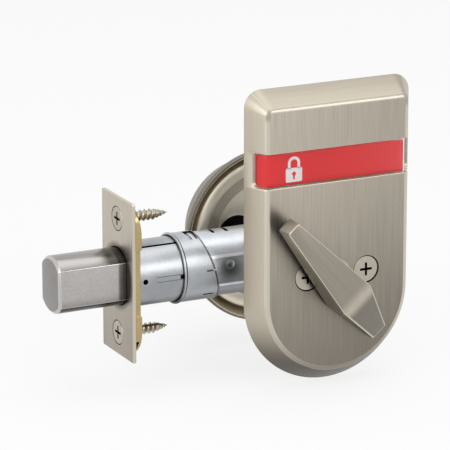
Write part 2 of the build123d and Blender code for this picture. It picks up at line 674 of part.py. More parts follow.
def make_rose():
    """The trim ring: a turned shell with a rim, a tapered wall, a shoulder and a flat face."""
    outer = [(ROSE_RADIUS, DOOR_OUT), (ROSE_RADIUS, DOOR_OUT + ROSE_RIM)]
    outer += [(ROSE_SHOULDER_RADIUS, DOOR_OUT + ROSE_SHOULDER_DEPTH), (ROSE_FACE_RADIUS, rose_face())]
    inner = [(r - ROSE_WALL, y - ROSE_WALL * (r < ROSE_RADIUS)) for r, y in outer]
    hole = CYLINDER_RADIUS + FREE_GAP
    points = outer + [(hole, rose_face()), (hole, rose_face() - ROSE_WALL)]
    return turned_y(points + inner[::-1])


def rose_face():
    return DOOR_OUT + ROSE_DEPTH


def make_rose_liner():
    """The pressed ring inside the rose: a rounded ridge, a dish, and a floor with a lobed opening."""
    ridge = DOOR_OUT + LINER_RIDGE_DEPTH
    floor = DOOR_OUT + CYLINDER_BACK - LINER_WALL
    back = floor + LINER_WALL
    skirt = ridge + LINER_SKIRT
    low = ridge + LINER_CROWN
    middle = (LINER_RIDGE_OUTER + LINER_RIDGE_INNER) / 2
    inside = LINER_RIDGE_OUTER - LINER_WALL
    under = low + LINER_WALL
    path = Polyline((inside, skirt), (LINER_RIDGE_OUTER, skirt), (LINER_RIDGE_OUTER, low))
    path += ThreePointArc((LINER_RIDGE_OUTER, low), (middle, ridge), (LINER_RIDGE_INNER, low))
    inner = [(LINER_RIDGE_INNER, low), (LINER_FLOOR_OUTER, floor), (0, floor), (0, back)]
    inner += [(LINER_FLOOR_OUTER + LINER_WALL, back), (LINER_RIDGE_INNER + LINER_WALL, under), (inside, under)]
    path += Polyline(*inner, (inside, skirt))
    liner = revolve(make_face(path), Axis.Y) - rod_y(LOBE_MIDDLE, floor, back)
    for x in (-LOBE_SPACING / 2, LOBE_SPACING / 2):
        liner -= rod_y(LOBE_RADIUS, floor, back, x)
    return liner


def make_cylinder_body():
    back = DOOR_OUT + CYLINDER_BACK
    front = rose_face() + CYLINDER_FLANGE_THICKNESS
    body = rod_y(CYLINDER_RADIUS, back, front) + rod_y(CYLINDER_FLANGE, rose_face(), front)
    body -= rod_y(PLUG_RADIUS + TURN_GAP, back, front)
    for x in (-SCREW_X, SCREW_X):
        body -= rod_y(POST_STUD_RADIUS + SEAT_GAP, back, back + POST_STUD_LENGTH + FREE_GAP, x)
    return body


def plug_back():
    return DOOR_OUT + CYLINDER_BACK + CAP_INSET + CAP_THICKNESS


def make_key_plug():
    front = rose_face() + CYLINDER_FLANGE_THICKNESS
    plug = rod_y(PLUG_RADIUS, plug_back(), front)
    half = KEYWAY_WIDTH / 2
    keyway = block((-half, half), (plug_back() + CAP_THICKNESS, front), (-KEYWAY_HEIGHT / 2, KEYWAY_HEIGHT / 2))
    return plug - keyway


def make_plug_cap():
    """The cap that holds the tailpiece's head against the plug."""
    start = plug_back() - CAP_THICKNESS
    cap = rod_y(PLUG_RADIUS, start, plug_back())
    cap -= rod_y(TAIL_HEAD_RADIUS + FREE_GAP, plug_back() - TAIL_HEAD_THICKNESS - 2 * SLIDE_GAP, plug_back())
    return cap - rod_y(BLADE_WIDTH / 2 + FREE_GAP, start, plug_back())


def make_tailpiece():
    """The flat blade from the plug, through the drive, into the thumbturn's spindle."""
    head_end = plug_back() - SLIDE_GAP
    half_width = BLADE_WIDTH / 2
    half = BLADE_THICKNESS / 2
    tail = rod_y(TAIL_HEAD_RADIUS, head_end - TAIL_HEAD_THICKNESS, head_end)
    return tail + block((-half, half), (COVER_INNER + FREE_GAP, head_end), (-half_width, half_width))


NODES = {
    "deadbolt": make_deadbolt,
    "anti_saw_pin": make_anti_saw_pin,
    "bolt_tail": make_bolt_tail,
    "tail_pin": make_tail_pin,
    "faceplate": make_faceplate,
    "backing_plate": make_backing_plate,
    "faceplate_screws": make_faceplate_screws,
    "front_tube": make_front_tube,
    "adjusting_collar": make_adjusting_collar,
    "rear_housing": make_rear_housing,
    "drive_cam": make_drive_cam,
    "crank_pin": make_crank_pin,
    "rose": make_rose,
    "rose_liner": make_rose_liner,
    "cylinder_body": make_cylinder_body,
    "key_plug": make_key_plug,
    "plug_cap": make_plug_cap,
    "tailpiece": make_tailpiece,
    "mounting_posts": make_mounting_posts,
    "mounting_screws": make_mounting_screws,
    "escutcheon": make_escutcheon,
    "window_lens": make_window_lens,
    "status_flag": make_status_flag,
    "flag_guide": make_flag_guide,
    "inner_plate": make_inner_plate,
    "thumbturn": make_thumbturn,
    "turn_spindle": make_turn_spindle,
    "turn_bushing": make_turn_bushing,
    "spindle_clip": make_spindle_clip,
    "lift_arm": make_lift_arm,
}


def main():
    os.makedirs("parts", exist_ok=True)
    for name, make in NODES.items():
        export_step(make(), f"parts/{name}.step")


if __name__ == "__main__":
    main()
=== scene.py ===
import math
from collections import namedtuple

import bmesh
import bpy
from bpy.props import FloatProperty, FloatVectorProperty, IntProperty, PointerProperty
from mathutils import Matrix, Vector


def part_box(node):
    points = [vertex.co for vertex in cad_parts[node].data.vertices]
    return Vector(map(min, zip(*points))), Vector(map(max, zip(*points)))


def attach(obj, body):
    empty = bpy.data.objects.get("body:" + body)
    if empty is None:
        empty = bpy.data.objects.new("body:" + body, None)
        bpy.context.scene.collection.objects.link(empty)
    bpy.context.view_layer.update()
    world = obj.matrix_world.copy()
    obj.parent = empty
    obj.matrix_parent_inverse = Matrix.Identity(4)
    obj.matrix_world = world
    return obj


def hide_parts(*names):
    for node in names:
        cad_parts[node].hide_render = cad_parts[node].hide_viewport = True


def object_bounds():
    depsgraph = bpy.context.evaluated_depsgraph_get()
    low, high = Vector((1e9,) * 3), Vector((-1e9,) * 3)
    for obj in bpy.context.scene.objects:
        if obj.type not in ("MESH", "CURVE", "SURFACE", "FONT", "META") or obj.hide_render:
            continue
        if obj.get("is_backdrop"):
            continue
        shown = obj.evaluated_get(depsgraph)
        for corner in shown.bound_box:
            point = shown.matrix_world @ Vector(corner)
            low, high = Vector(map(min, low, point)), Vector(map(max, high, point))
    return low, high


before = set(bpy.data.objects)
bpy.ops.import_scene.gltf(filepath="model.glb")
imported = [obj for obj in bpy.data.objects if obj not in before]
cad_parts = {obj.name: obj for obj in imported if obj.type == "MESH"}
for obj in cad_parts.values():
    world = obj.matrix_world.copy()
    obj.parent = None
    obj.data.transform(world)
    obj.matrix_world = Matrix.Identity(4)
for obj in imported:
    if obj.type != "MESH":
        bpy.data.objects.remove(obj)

bl_info = {
    "name": "Deadbolt with a status window",
    "version": (1, 0, 0),
    "blender": (4, 5, 0),
    "location": "View3D > Sidebar > Deadbolt",
    "description": "Dresses the packed deadbolt with finished pieces and a studio",
    "category": "Object",
}

MM = 0.001
QUARTER = math.radians(90)

# A cutter reaches this far past what it cuts, and a turned solid is closed at this radius.
PAST = 1.0 * MM
POLE = 0.1 * MM

# A piece has room for so many finishes, of which the last is for cut faces.
MOST_FINISHES = 6
CUT = MOST_FINISHES - 1

# An edge that bends by more than this angle is shown sharp.
SMOOTH_ANGLE = math.radians(32)
GRIP_SMOOTH_ANGLE = math.radians(20)
HOUSING_SMOOTH_ANGLE = math.radians(24)

# An edge that bends by more than this angle is bevelled.
BEVEL_ANGLE = math.radians(34)
GRIP_ANGLE = math.radians(14)
BOLT_ANGLE = math.radians(28)
SQUARE_ANGLE = math.radians(50)

# A face takes a side's finish when its normal reaches this far along that side's axis. These finishes paint
# light and shade: lit and shaded copies of a metal, highlights on edges, and dark contact lines.
COVER_FRONT = 0.985
COVER_EDGE = 0.62
COVER_REAR = 0.3
COVER_TOP = 0.7
GRIP_FRONT = 0.87
GRIP_EDGE = 0.25
GRIP_BACK = 0.7
BOLT_TIP = 0.98
BOLT_BEVEL = 0.3
BOLT_FLAT = 0.995
FLAT_EDGE = 0.8
PLATE_FACE = 0.95
COLLAR_FRONT = 0.4
COLLAR_REAR = 0.25

# Steps of a full turn, in round pieces and holes.
ROUND_STEPS = 144
ROSE_STEPS = 180
CYLINDER_STEPS = 120
LOBE_STEPS = 96
POST_STEPS = 96
SCREW_STEPS = 72
ROD_STEPS = 64
MARK_STEPS = 48
KEYHOLE_STEPS = 32

# Steps along the cover's outline, and round its front edge.
SIDE_STEPS = 30
CORNER_STEPS = 12
TOP_STEPS = 40
FOOT_STEPS = 110
EDGE_STEPS = 7

# Steps along other curves: a half round or a quarter, a bend, a crown.
BOLT_STEPS = 40
HOUSING_STEPS = 50
SIGN_STEPS = 24
BOX_STEPS = 8
SOFT_STEPS = 4
BEND_STEPS = 3
BOW_STEPS = 80
CROWN_STEPS = 12
RIDGE_STEPS = 10

# A rounded corner takes at most this share of the side beside it.
MOST_ROUNDED = 0.45

# Brushing, in waves to the metre on each axis: many across the scratches and few along them.
UPRIGHT = (1900, 1900, 40)
SIDEWAYS = (40, 1900, 1900)
LENGTHWAYS = (30, 1900, 1900)

# Width of the photograph in pixels, the unit in which the lens is given.
FRAME_PIXELS = 450

# An easing of a finish's colour, which paints light and shade on it: where it is measured, from start to end,
# and its first and last share.
Fade = namedtuple("Fade", "where start end first last")


def size(name, text, default, low=0.0):
    """A length, shown in the sidebar: its default and lowest value are given in millimetres."""
    return FloatProperty(
        name=name, description=text, default=default * MM, min=low * MM, unit="LENGTH", precision=5)


def angle(name, text, default):
    """An angle, shown in the sidebar: its default is given in radians."""
    return FloatProperty(name=name, description=text, default=default, subtype="ANGLE")


def count(name, text, default, low=1):
    """A whole number, shown in the sidebar."""
    return IntProperty(name=name, description=text, default=default, min=low)


def paint(name, text, default):
    """A colour, shown in the sidebar."""
    return FloatVectorProperty(
        name=name, description=text, default=default, size=3, min=0, max=1, subtype="COLOR")


class CoverSizes(bpy.types.PropertyGroup):
    """Sizes of the cover and its window."""

    draft: size("Side draft", "How much wider each side is at the door than at the front", 5.0)
    top_draft: size("Top draft", "How much higher the top is at the door than at the front", 5.9)
    front_corner: size("Front corner", "Radius of the top corners at the front", 2.2)
    least_corner: size("Least corner", "Smallest radius of a top corner", 0.4)
    rear_corner: size("Rear corner", "Radius of the top corners at the door", 6.5)
    round_drop: size("Round drop", "How far the half round sinks from the front to the door", 1.1)
    edge: size("Front edge", "Radius of the edge round the front", 2.5)
    rear_edge: size("Rear edge", "Chamfer round the cover's rear edge", 0.35)
    wall: size("Wall", "Thickness of the cover", 1.5)
    slot_edge: size("Slot edge", "Bevel round the window and the holes", 0.16)
    lens_edge: size("Lens edge", "Bevel of the lens", 0.12)
    hole_edge: size("Hole edge", "Chamfer round a screw's hole", 0.18)
    window_gap: size("Window gap", "Gap between the lens and the cover", 0.07)
    window_corner: size("Window corner", "Radius at the ends of the window", 1.8)
    boss_wall: size("Boss wall", "Thickness of the wall round a screw hole", 1.0)
    boss_depth: size("Boss depth", "Length of the boss round a screw hole, from the front", 3.0)
    boss_sink: size("Boss sink", "How far a boss is let into the cover's front", 0.5)
    head_hole: size("Head hole", "Radius of the hole for a screw head", 4.85)
    head_depth: size("Head depth", "Depth of the hole for a screw head", 2.3)
    shank_hole: size("Shank hole", "Radius of the hole for a screw's shank", 2.15)
    bush_hole: size("Bush hole", "Radius of the hole for the bush", 5.23)


class FlagSizes(bpy.types.PropertyGroup):
    """Sizes of the status flag and its signs."""

    skin: size("Thickness", "Thickness of the flag", 1.0)
    wrap: size("Wrap", "How far the bands reach back behind the window's end", 0.9)
    gap: size("Gap", "Gap between the flag and its neighbours", 0.3)
    sink: size("Sink", "How far the leg and the signs are let into the bands", 0.2)
    edge: size("Edge", "Bevel of the bands' edges", 0.1)
    seam: size("Seam", "Width of the line between the bands", 0.04)
    seam_depth: size("Seam depth", "Depth of the line between the bands", 0.25)
    leg_width: size("Leg width", "Width of the flag's leg", 4.7)
    leg_skin: size("Leg thickness", "Thickness of the flag's leg", 1.5)
    leg_joint: size("Leg joint", "Height of the joint between the leg and the band", 3.5)
    leg_edge: size("Leg edge", "Bevel of the leg's edges", 0.15)
    fork_depth: size("Fork depth", "Depth of the fork for the lift pin", 0.9)
    fork_wall: size("Fork wall", "Material below the fork", 1.5)
    fork_height: size("Fork height", "Height of the fork", 2.4)
    pin_reach: size("Pin reach", "Length of the lift pin", 1.0)
    sign_x: size("Sign place", "Middle of the padlock sign, across the cover", -16.2, -100.0)
    sign_low: size("Sign foot", "Height of the padlock's foot above the band's lower edge", 1.1)
    sign_width: size("Sign width", "Width of the padlock's body", 6.3)
    sign_height: size("Sign height", "Height of the padlock's body", 5.0)
    sign_corner: size("Sign corner", "Radius of the padlock's corners", 0.6)
    sign_bow: size("Sign bow", "Thickness of the padlock's bow", 1.0)
    sign_rise: size("Sign rise", "Straight part of the padlock's bow", 1.7)
    bow_sink: size("Bow sink", "How far the bow is let into the padlock's body", 0.3)
    keyhole: size("Keyhole", "Radius of the sign's keyhole", 0.75)
    keyhole_slot: size("Keyhole slot", "Width of the slot below the keyhole", 0.7)
    sign_skin: size("Sign skin", "How far the printed sign stands out", 0.04)


class GripSizes(bpy.types.PropertyGroup):
    """Sizes of the thumbturn's grip."""

    lean: angle("Lean", "Lean of the grip from upright", math.radians(41.1))
    offset: size("Offset", "Distance of the grip's middle from the spindle", 3.35)
    narrow_reach: size("Narrow reach", "Length from the spindle to the narrow end", 33.1)
    narrow_width: size("Narrow width", "Width of the narrow end", 5.1)
    crease_reach: size("Crease reach", "Place of the crease beyond the spindle", 5.0)
    crease_width: size("Crease width", "Width at the crease", 13.7)
    tip_reach: size("Tip reach", "Length from the spindle to the tip", 27.1)
    tip_width: size("Tip width", "Width of the tip", 6.4)
    narrow_back: size("Narrow back", "Gap between the narrow end and the cover", 6.9)
    hub_back: size("Hub back", "Gap between the grip's hub and the cover", 1.1)
    tip_front: size("Tip front", "Height of the tip above the cover", 3.5)
    slope: size("Slope", "How much wider the grip is at its back, on each side", 0.45)
    edge: size("Edge", "Radius of the grip's edges", 0.55)
    blend: size("Blend", "Half length of the soft bend at the crease", 4.0)
    bore: size("Bore", "Radius of the hole for the spindle's tang", 3.05)
    bore_depth: size("Bore depth", "Depth of the hole for the spindle's tang", 9.0)


class BoltSizes(bpy.types.PropertyGroup):
    """Sizes of the bolt."""

    chamfer: size("Chamfer", "Chamfer round the bolt's tip", 0.85)
    edge: size("Edge", "Bevel of the bolt's edges", 0.12)
    bore: size("Bore", "Radius of the bore for the loose pin", 3.3)
    bore_inset: size("Bore inset", "Metal in front of the bore", 5.0)
    slot_half: size("Slot", "Half width of the slot for the yoke", 4.5)
    slot_depth: size("Slot depth", "Depth of the slot for the yoke", 9.6)
    gap: size("Gap", "Gap between the bolt and the faceplate", 0.3)


class PlateSizes(bpy.types.PropertyGroup):
    """Sizes of the faceplate and the bowed plate behind it."""

    corner: size("Corner", "Radius of the faceplate's corners", 0.6)
    edge: size("Edge", "Bevel of the faceplate's edges", 0.22)
    head_gap: size("Head gap", "Gap round a wood screw's head at its widest", 0.05)
    bow_skin: size("Bowed thickness", "Thickness of the bowed plate", 0.9)
    bow_side: size("Bowed side", "Half width between the bowed plate's side walls", 10.6)
    bow_open: size("Bowed opening", "Height below which the side walls are cut away", -20.6, -100.0)
    bow_flat: size("Bowed flat", "Half length of the bowed plate's flat middle", 17.0)
    bow_corner: size("Bowed corner", "Radius of the bowed plate's corners", 5.0)
    bow_edge: size("Bowed edge", "Bevel of the bowed plate's edges", 0.08)
    bow_skirt: size("Bowed skirt", "How far the bowed plate's hollow stays behind the faceplate", 0.1)
    bolt_gap: size("Bolt gap", "Gap between the bowed plate and the bolt", 0.3)
    screw_gap: size("Screw gap", "Gap between the bowed plate and a wood screw's core", 0.8)
    notch_half: size("Notch", "Half height of the notches in the bowed plate", 12.0)
    notch_depth: size("Notch depth", "Depth of the notches in the bowed plate", 1.2)
    notch_reach: size("Notch reach", "How far a notch's cutter reaches outwards", 5.0)


class CaseSizes(bpy.types.PropertyGroup):
    """Sizes of the tubes round the bolt and its drive."""

    wall: size("Tube wall", "Thickness of the front tube", 1.2)
    housing_wall: size("Housing wall", "Thickness of the rear housing", 1.0)
    edge: size("Edge", "Bevel of the tubes' edges", 0.14)
    rear_edge: size("Collar edge", "Rounding of the collar's rear edge", 0.2)
    line_place: size("Line place", "Distance of the pressed line from the collar's rear edge", 0.42)
    line_width: size("Line width", "Width of the pressed line beside the collar's rear edge", 0.3)
    line_depth: size("Line depth", "Depth of the pressed line beside the collar's rear edge", 0.15)
    lip: size("Lip", "How far the collar's front lip stands out", 0.35)
    contact: size("Contact", "Height of the dark contact line at the collar's front", 0.4)
    joint_gap: size("Joint gap", "Gap between the collar and the tubes", 0.05)
    step_gap: size("Step gap", "Gap between the collar's step and the housing", 0.3)
    collar_soft: size("Collar rounding", "Rounding of the collar's pressed corners", 0.25)
    slant: size("Slant", "Slant of the collar's rear edge", 3.4)
    collar_rear: size("Collar rear", "Middle of the collar's rear edge", -37.3, -100.0)
    opening_place: size("Opening place", "Middle of the collar's opening", -43.1, -100.0)
    opening_length: size("Opening length", "Length of the collar's opening", 3.4)
    opening_width: size("Opening width", "Width of the collar's opening", 7.0)
    opening_depth: size("Opening depth", "Depth of the collar's opening and slits", 3.0)
    opening_turn: angle("Opening turn", "Turn of the opening above the room side", math.radians(81))
    slit_place: size("Slit place", "Middle of the collar's slits", -39.3, -100.0)
    slit_length: size("Slit length", "Length of the collar's slits", 3.8)
    slit_width: size("Slit width", "Width of the collar's slits", 0.7)
    upper_slit_turn: angle("Upper slit", "Turn of the upper slit above the room side", math.radians(5.5))
    lower_slit_turn: angle("Lower slit", "Turn of the lower slit above the room side", math.radians(-42))
    groove_length: size("Groove length", "Length of the pressed groove", 10.4)
    groove_width: size("Groove width", "Width of the pressed groove", 1.8)
    groove_depth: size("Groove depth", "Depth of the pressed groove", 0.3)
    stop_place: size("Stop place", "Distance of the groove's deep end from the collar", 0.4)
    stop_length: size("Stop length", "Length of the groove's deep end", 1.6)
    stop_depth: size("Stop depth", "Depth of the groove's deep end", 0.6)
    brow_gap: size("Brow gap", "Distance of the line above the groove from its edge", 0.1)
    brow_width: size("Brow width", "Width of the line above the groove", 0.22)
    brow_depth: size("Brow depth", "Depth of the line above the groove", 0.2)
    peep: size("Peep hole", "Radius of the hole in the tube", 0.95)
    peep_place: size("Peep place", "Distance of the hole from the tube's front", 1.95)
    seam: size("Seam", "Width of the seam", 0.9)
    seam_inset: size("Seam inset", "Length of the tube in front of the seam", 1.5)
    seam_turn: angle("Seam turn", "Turn of the seam above the room side", math.radians(66))
    slot_width: size("Slot width", "Width of the two slots in the housing", 1.2)
    slot_length: size("Slot length", "Length of the two slots in the housing", 4.4)
    slot_pitch: size("Slot pitch", "Distance between the two slots", 5.2)
    slot_place: size("Slot place", "Distance of the first slot from the housing's front", 9.2)
    dimple: size("Dimple", "Radius of the punched mark on the housing's flat", 1.7)
    dimple_place: size("Dimple place", "Distance of the mark from the housing's front", 11.6)
    dimple_up: size("Dimple height", "Height of the mark above the axis", 1.9)
    dimple_depth: size("Dimple depth", "Depth of the punched mark", 0.35)
    hub_hole: size("Hub hole", "Radius of the housing's hole for the drive's hub", 6.08)
    running_gap: size("Running gap", "Gap between the housing and what moves or passes in it", 0.3)


class ScrewSizes(bpy.types.PropertyGroup):
    """Sizes of the screws and the posts."""

    wood_core: size("Wood core", "Core radius of the wood screws", 1.45)
    wood_head_depth: size("Wood head", "Depth of the wood screws' heads", 2.6)
    wood_gap: size("Wood gap", "Gap round a wood screw's head", 0.22)
    wood_height: size("Wood thread", "Height of the wood screws' thread", 0.62)
    wood_turns: count("Wood turns", "Turns of the wood screws' straight thread", 6)
    wood_point_turns: count("Point turns", "Turns of the wood screws' thread on the point", 3)
    wood_last: size("Last radius", "Radius at which the wood screws' thread ends", 0.12)
    wood_bare: size("Bare tip", "Length of the wood screws' tip without a thread", 1.0)
    wood_edge: size("Wood edge", "Chamfer round the wood screws' heads", 0.1)
    wood_rim: size("Wood rim", "Depth of the widest part of the wood screws' heads", 0.3)
    wood_point: size("Wood point", "Length of the wood screws' point", 4.0)
    wood_tip_length: size("Tip length", "Length of the wood screws' tip", 0.4)
    wood_tip: size("Tip start", "Radius at the start of the wood screws' tip", 0.22)
    wood_end: size("Tip end", "Radius at the end of the wood screws' tip", 0.03)
    wood_spacing: size("Wood spacing", "Distance between the wood screws", 41.3)
    spacing: size("Spacing", "Distance between the mounting screws", 22.9)
    head: size("Head", "Radius of a mounting screw's head", 4.6)
    rim: size("Head rim", "Straight part of a mounting screw's head", 1.9)
    crown: size("Head crown", "Crown of a mounting screw's head", 0.35)
    lift: size("Head lift", "How far a mounting screw's head stands above the solid's", 0.25)
    shank: size("Shank", "Radius of the mounting screws' shanks", 1.85)
    head_edge: size("Head edge", "Chamfer under a mounting screw's head", 0.12)
    end_edge: size("End edge", "Chamfer at a mounting screw's end", 0.5)
    recess_reach: size("Recess reach", "Reach of a cross recess's arms", 2.35)
    recess_width: size("Recess width", "Width of a cross recess's arms", 0.9)
    recess_depth: size("Recess depth", "Depth of a cross recess", 1.9)
    recess_lead: size("Recess lead", "How far a cross recess's cutter starts above the head", 0.6)
    recess_sink: size("Recess sink", "Depth of the oval head's crown at the cross recess", 0.1)
    post_height: size("Post thread", "Height of the posts' thread", 0.26)
    post_turns: count("Post turns", "Turns of the posts' thread", 18)
    post_edge: size("Post edge", "Chamfer at a post's mouth", 0.1)
    thread_sink: size("Thread sink", "How far the posts' thread is let into the core", 0.02)
    thread_start: size("Thread start", "Length of a post in front of its thread", 0.3)
    bore_gap: size("Bore gap", "Gap between a mounting screw and its post", 0.05)
    end_gap: size("End gap", "Room in a post behind the screw's end", 0.3)
    post_stud: size("Stud", "Radius of the posts' studs", 1.5)
    post_stud_length: size("Stud length", "Length of the posts' studs", 5.0)
    turn_steps: count("Turn steps", "Points in one turn of a thread", 32, 8)


class RoseSizes(bpy.types.PropertyGroup):
    """Sizes of the trim ring, the ring inside it and the cylinder."""

    rim: size("Rim", "Height of the straight rim", 2.4)
    shoulder_radius: size("Shoulder radius", "Radius at the shoulder", 27.3)
    shoulder_depth: size("Shoulder depth", "Distance of the shoulder from the door", 12.0)
    face_radius: size("Face radius", "Radius of the flat face", 23.8)
    hole: size("Hole", "Radius of the hole for the cylinder", 15.9)
    wall: size("Wall", "Thickness of the rose", 1.3)
    edge: size("Edge", "Rounding of the rose's edges", 1.2)
    ridge_width: size("Ridge width", "Width of the ring's rounded ridge", 4.7)
    ridge_crown: size("Ridge crown", "Height of the ring's rounded ridge", 1.2)
    dish_width: size("Dish width", "Width of the slope between the ridge and the floor", 5.1)
    ring_wall: size("Ring wall", "Thickness of the pressed ring", 1.4)
    lobe: size("Lobe", "Radius of the opening's lobes", 7.4)
    lobe_spacing: size("Lobe spacing", "Distance between the opening's lobes", 20.8)
    lobe_middle: size("Lobe middle", "Radius of the opening's middle", 6.5)
    lobe_edge: size("Lobe edge", "Bevel round the lobed opening", 0.15)
    ring_edge: size("Ring rounding", "Rounding of the ring's pressed corners", 0.35)
    flange_depth: size("Flange", "Thickness of the cylinder's flange", 1.2)
    flange_edge: size("Flange edge", "Rounding of the cylinder's edges", 0.5)
    body_radius: size("Cylinder", "Radius of the cylinder's body", 15.6)
    plug: size("Plug hole", "Radius of the hole for the plug", 6.43)


class Colours(bpy.types.PropertyGroup):
    """Colours of the finishes. The lit nickel is a lit copy of the nickel, the edge highlight is painted on
    bevelled edges, and black also serves as painted shade in gaps and recesses.
    """

    nickel: paint("Nickel", "Satin nickel of the cover's front", (0.455, 0.412, 0.345))
    # Painted light: a lighter copy of the nickel for faces that the lamps light more, such as the cover's
    # sides.
    nickel_lit: paint("Light nickel", "Satin nickel of the cover's sides", (0.525, 0.475, 0.388))
    # Painted highlight: a brighter nickel for bevelled edges, where light glints on them.
    nickel_edge_highlight: paint("Edge nickel", "Polished edges of the nickel pieces", (0.585, 0.54, 0.455))
    steel: paint("Bolt steel", "Ground steel of the bolt", (0.46, 0.44, 0.425))
    chrome: paint("Chrome", "Plated tubes", (0.44, 0.455, 0.475))
    brass: paint("Brass", "Strengthening plate", (0.46, 0.35, 0.165))
    red: paint("Red", "Band shown when the bolt is thrown", (0.78, 0.013, 0.016))
    green: paint("Green", "Band shown when the bolt is drawn back", (0.02, 0.26, 0.08))
    white: paint("White", "Printed signs", (0.85, 0.85, 0.85))
    # Black also serves as painted shade in gaps, recesses, slots and contact lines.
    black: paint("Black", "Blackened metal", (0.012, 0.012, 0.013))
    zinc: paint("Zinc", "Zinc plated inner parts", (0.50, 0.50, 0.49))


class StageSizes(bpy.types.PropertyGroup):
    """Places of the camera and the floor."""

    turn: angle("Turn", "The camera's turn from the front", 0.454880)
    tilt: angle("Tilt", "The camera's tilt below the horizon", 0.281155)
    distance: size("Distance", "The camera's distance", 1203.193)
    aside: size("Aside", "The view's middle, to the right of the origin", -25.389, -1000.0)
    above: size("Above", "The view's middle, above the origin", 9.047, -1000.0)
    lens_pixels: FloatProperty(
        name="Lens", description="Focal length in pixels of the frame", default=3380.201)
    floor_gap: size("Floor gap", "Gap under the object", 0.2)
    floor_size: size("Floor size", "Half width of the floor", 3000.0)


def sizes(group):
    """One of the scene's groups of sizes."""
    return getattr(bpy.context.scene, group)


def low(node):
    """The lowest corner of a node."""
    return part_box(node)[0]


def high(node):
    """The highest corner of a node."""
    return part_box(node)[1]


def scaled(values, share):
    """Values made larger or smaller together, such as a colour made darker."""
    return [value * share for value in values]


def pair(distance):
    """Two places at a distance, one on each side of the middle."""
    return (-distance / 2, distance / 2)


class Field:
    """A value inside a node tree, with arithmetic that adds Math nodes."""

    def __init__(self, nodes, socket):
        self.nodes = nodes
        self.socket = socket

    def math(self, operation, first, second):
        """A Math node on two values, of which either may be a plain number."""
        values = {"Value": first, "Value_001": second}
        return self.nodes.node("ShaderNodeMath", {"operation": operation}, values, "Value")

    def __add__(self, other):
        return self.math("ADD", self, other)

    def __radd__(self, other):
        return self.math("ADD", other, self)

    def __sub__(self, other):
        return self.math("SUBTRACT", self, other)

    def __rsub__(self, other):
        return self.math("SUBTRACT", other, self)

    def __mul__(self, other):
        return self.math("MULTIPLY", self, other)

    def __rmul__(self, other):
        return self.math("MULTIPLY", other, self)

    def __pow__(self, other):
        return self.math("POWER", self, other)


class Nodes:
    """A node tree that is put together in code."""

    def __init__(self, tree):
        self.tree = tree
        self.tree.nodes.clear()

    def node(self, kind, settings, values, output):
        """Adds a node: settings first, then its sockets' values or links, by identifier."""
        made = self.tree.nodes.new(kind)
        for key, value in settings.items():
            setattr(made, key, value)
        for key, value in values.items():
            socket = next(s for s in made.inputs if s.identifier == key)
            for part in value if isinstance(value, list) else [value]:
                if isinstance(part, Field):
                    self.tree.links.new(part.socket, socket)
                else:
                    socket.default_value = part
        return Field(self, next(s for s in made.outputs if s.identifier == output))


class Finish(Nodes):
    """A material that is put together from nodes."""

    def __init__(self, name):
        self.material = bpy.data.materials.new(name)
        self.material.use_nodes = True
        super().__init__(self.material.node_tree)

    def place(self, spread=(1, 1, 1), turn=(0, 0, 0)):
        """The point on the object, turned and then spread."""
        at = self.node("ShaderNodeTexCoord", {}, {}, "Object")
        at = self.node("ShaderNodeMapping", {}, {"Vector": at, "Rotation": turn}, "Vector")
        return self.node("ShaderNodeMapping", {}, {"Vector": at, "Scale": spread}, "Vector")

    def reach(self, where, turn=(0, 0, 0)):
        """Distance along an axis, or from a line or a point: the axis with None is left out."""
        if where in ("X", "Y", "Z"):
            return self.node("ShaderNodeSeparateXYZ", {}, {"Vector": self.place(turn=turn)}, where)
        known = [(axis, value) for axis, value in zip("XYZ", where) if value is not None]
        parts = [self.reach(axis, turn) - value for axis, value in known]
        return sum(part * part for part in parts) ** 0.5

    def fade(self, value, start, end, first, last):
        """A value that eases from first to last while another runs from start to end."""
        settings = {"interpolation_type": "SMOOTHSTEP"}
        values = {"Value": value, "From Min": start, "From Max": end, "To Min": first, "To Max": last}
        return self.node("ShaderNodeMapRange", settings, values, "Result")

    def faded(self, shade, fades, turn=(0, 0, 0)):
        """A shade that eases along each of the fades."""
        for where, start, end, first, last in fades:
            shade = shade * self.fade(self.reach(where, turn), start, end, first, last)
        return shade

    def noise(self, at, scale, detail, rough):
        """Even noise between 0 and 1, scale to the metre."""
        values = {"Vector": at, "Scale": scale, "Detail": detail, "Roughness": rough}
        return self.node("ShaderNodeTexNoise", {}, values, "Fac")

    def tint(self, colour, amount):
        """A colour made lighter or darker by a field that is 1 where it stays."""
        channels = {"Red": amount, "Green": amount, "Blue": amount}
        grey = self.node("ShaderNodeCombineColor", {}, channels, "Color")
        settings = {"data_type": "RGBA", "blend_type": "MULTIPLY"}
        values = {"Factor_Float": 1.0, "A_Color": (*colour, 1.0), "B_Color": grey}
        return self.node("ShaderNodeMix", settings, values, "Result_Color")

    def bump(self, height, distance):
        """A surface that is uneven by a distance."""
        values = {"Height": height, "Distance": distance, "Strength": 1.0}
        return self.node("ShaderNodeBump", {}, values, "Normal")

    def surface(self, values):
        """Ends the material in a Principled shader."""
        shader = self.node("ShaderNodeBsdfPrincipled", {}, values, "BSDF")
        return self.end(shader)

    def end(self, shader):
        """Ends the material in any shader."""
        output = self.tree.nodes.new("ShaderNodeOutputMaterial")
        self.tree.links.new(shader.socket, output.inputs["Surface"])
        return self.material


def brushed_metal(name, colour, spread, turn=(0, 0, 0), rough=0.3, streak=0.5, fades=()):
    """Satin metal with fine scratches: spread is high across them and low along them."""
    finish = Finish(name)
    at = finish.place(spread, turn)
    fine = finish.noise(at, scale=1.0, detail=2.0, rough=0.6)
    broad = finish.noise(at, scale=0.22, detail=2.0, rough=0.6)
    streaks = fine * 0.75 + broad * 0.25
    shade = finish.faded((1 - streak / 2) + streaks * streak, fades, turn)
    values = {"Base Color": finish.tint(colour, shade), "Metallic": 1.0}
    values["Roughness"] = (rough - 0.05) + streaks * 0.10
    values["Normal"] = finish.bump(streaks, 0.010 * MM)
    return finish.surface(values)


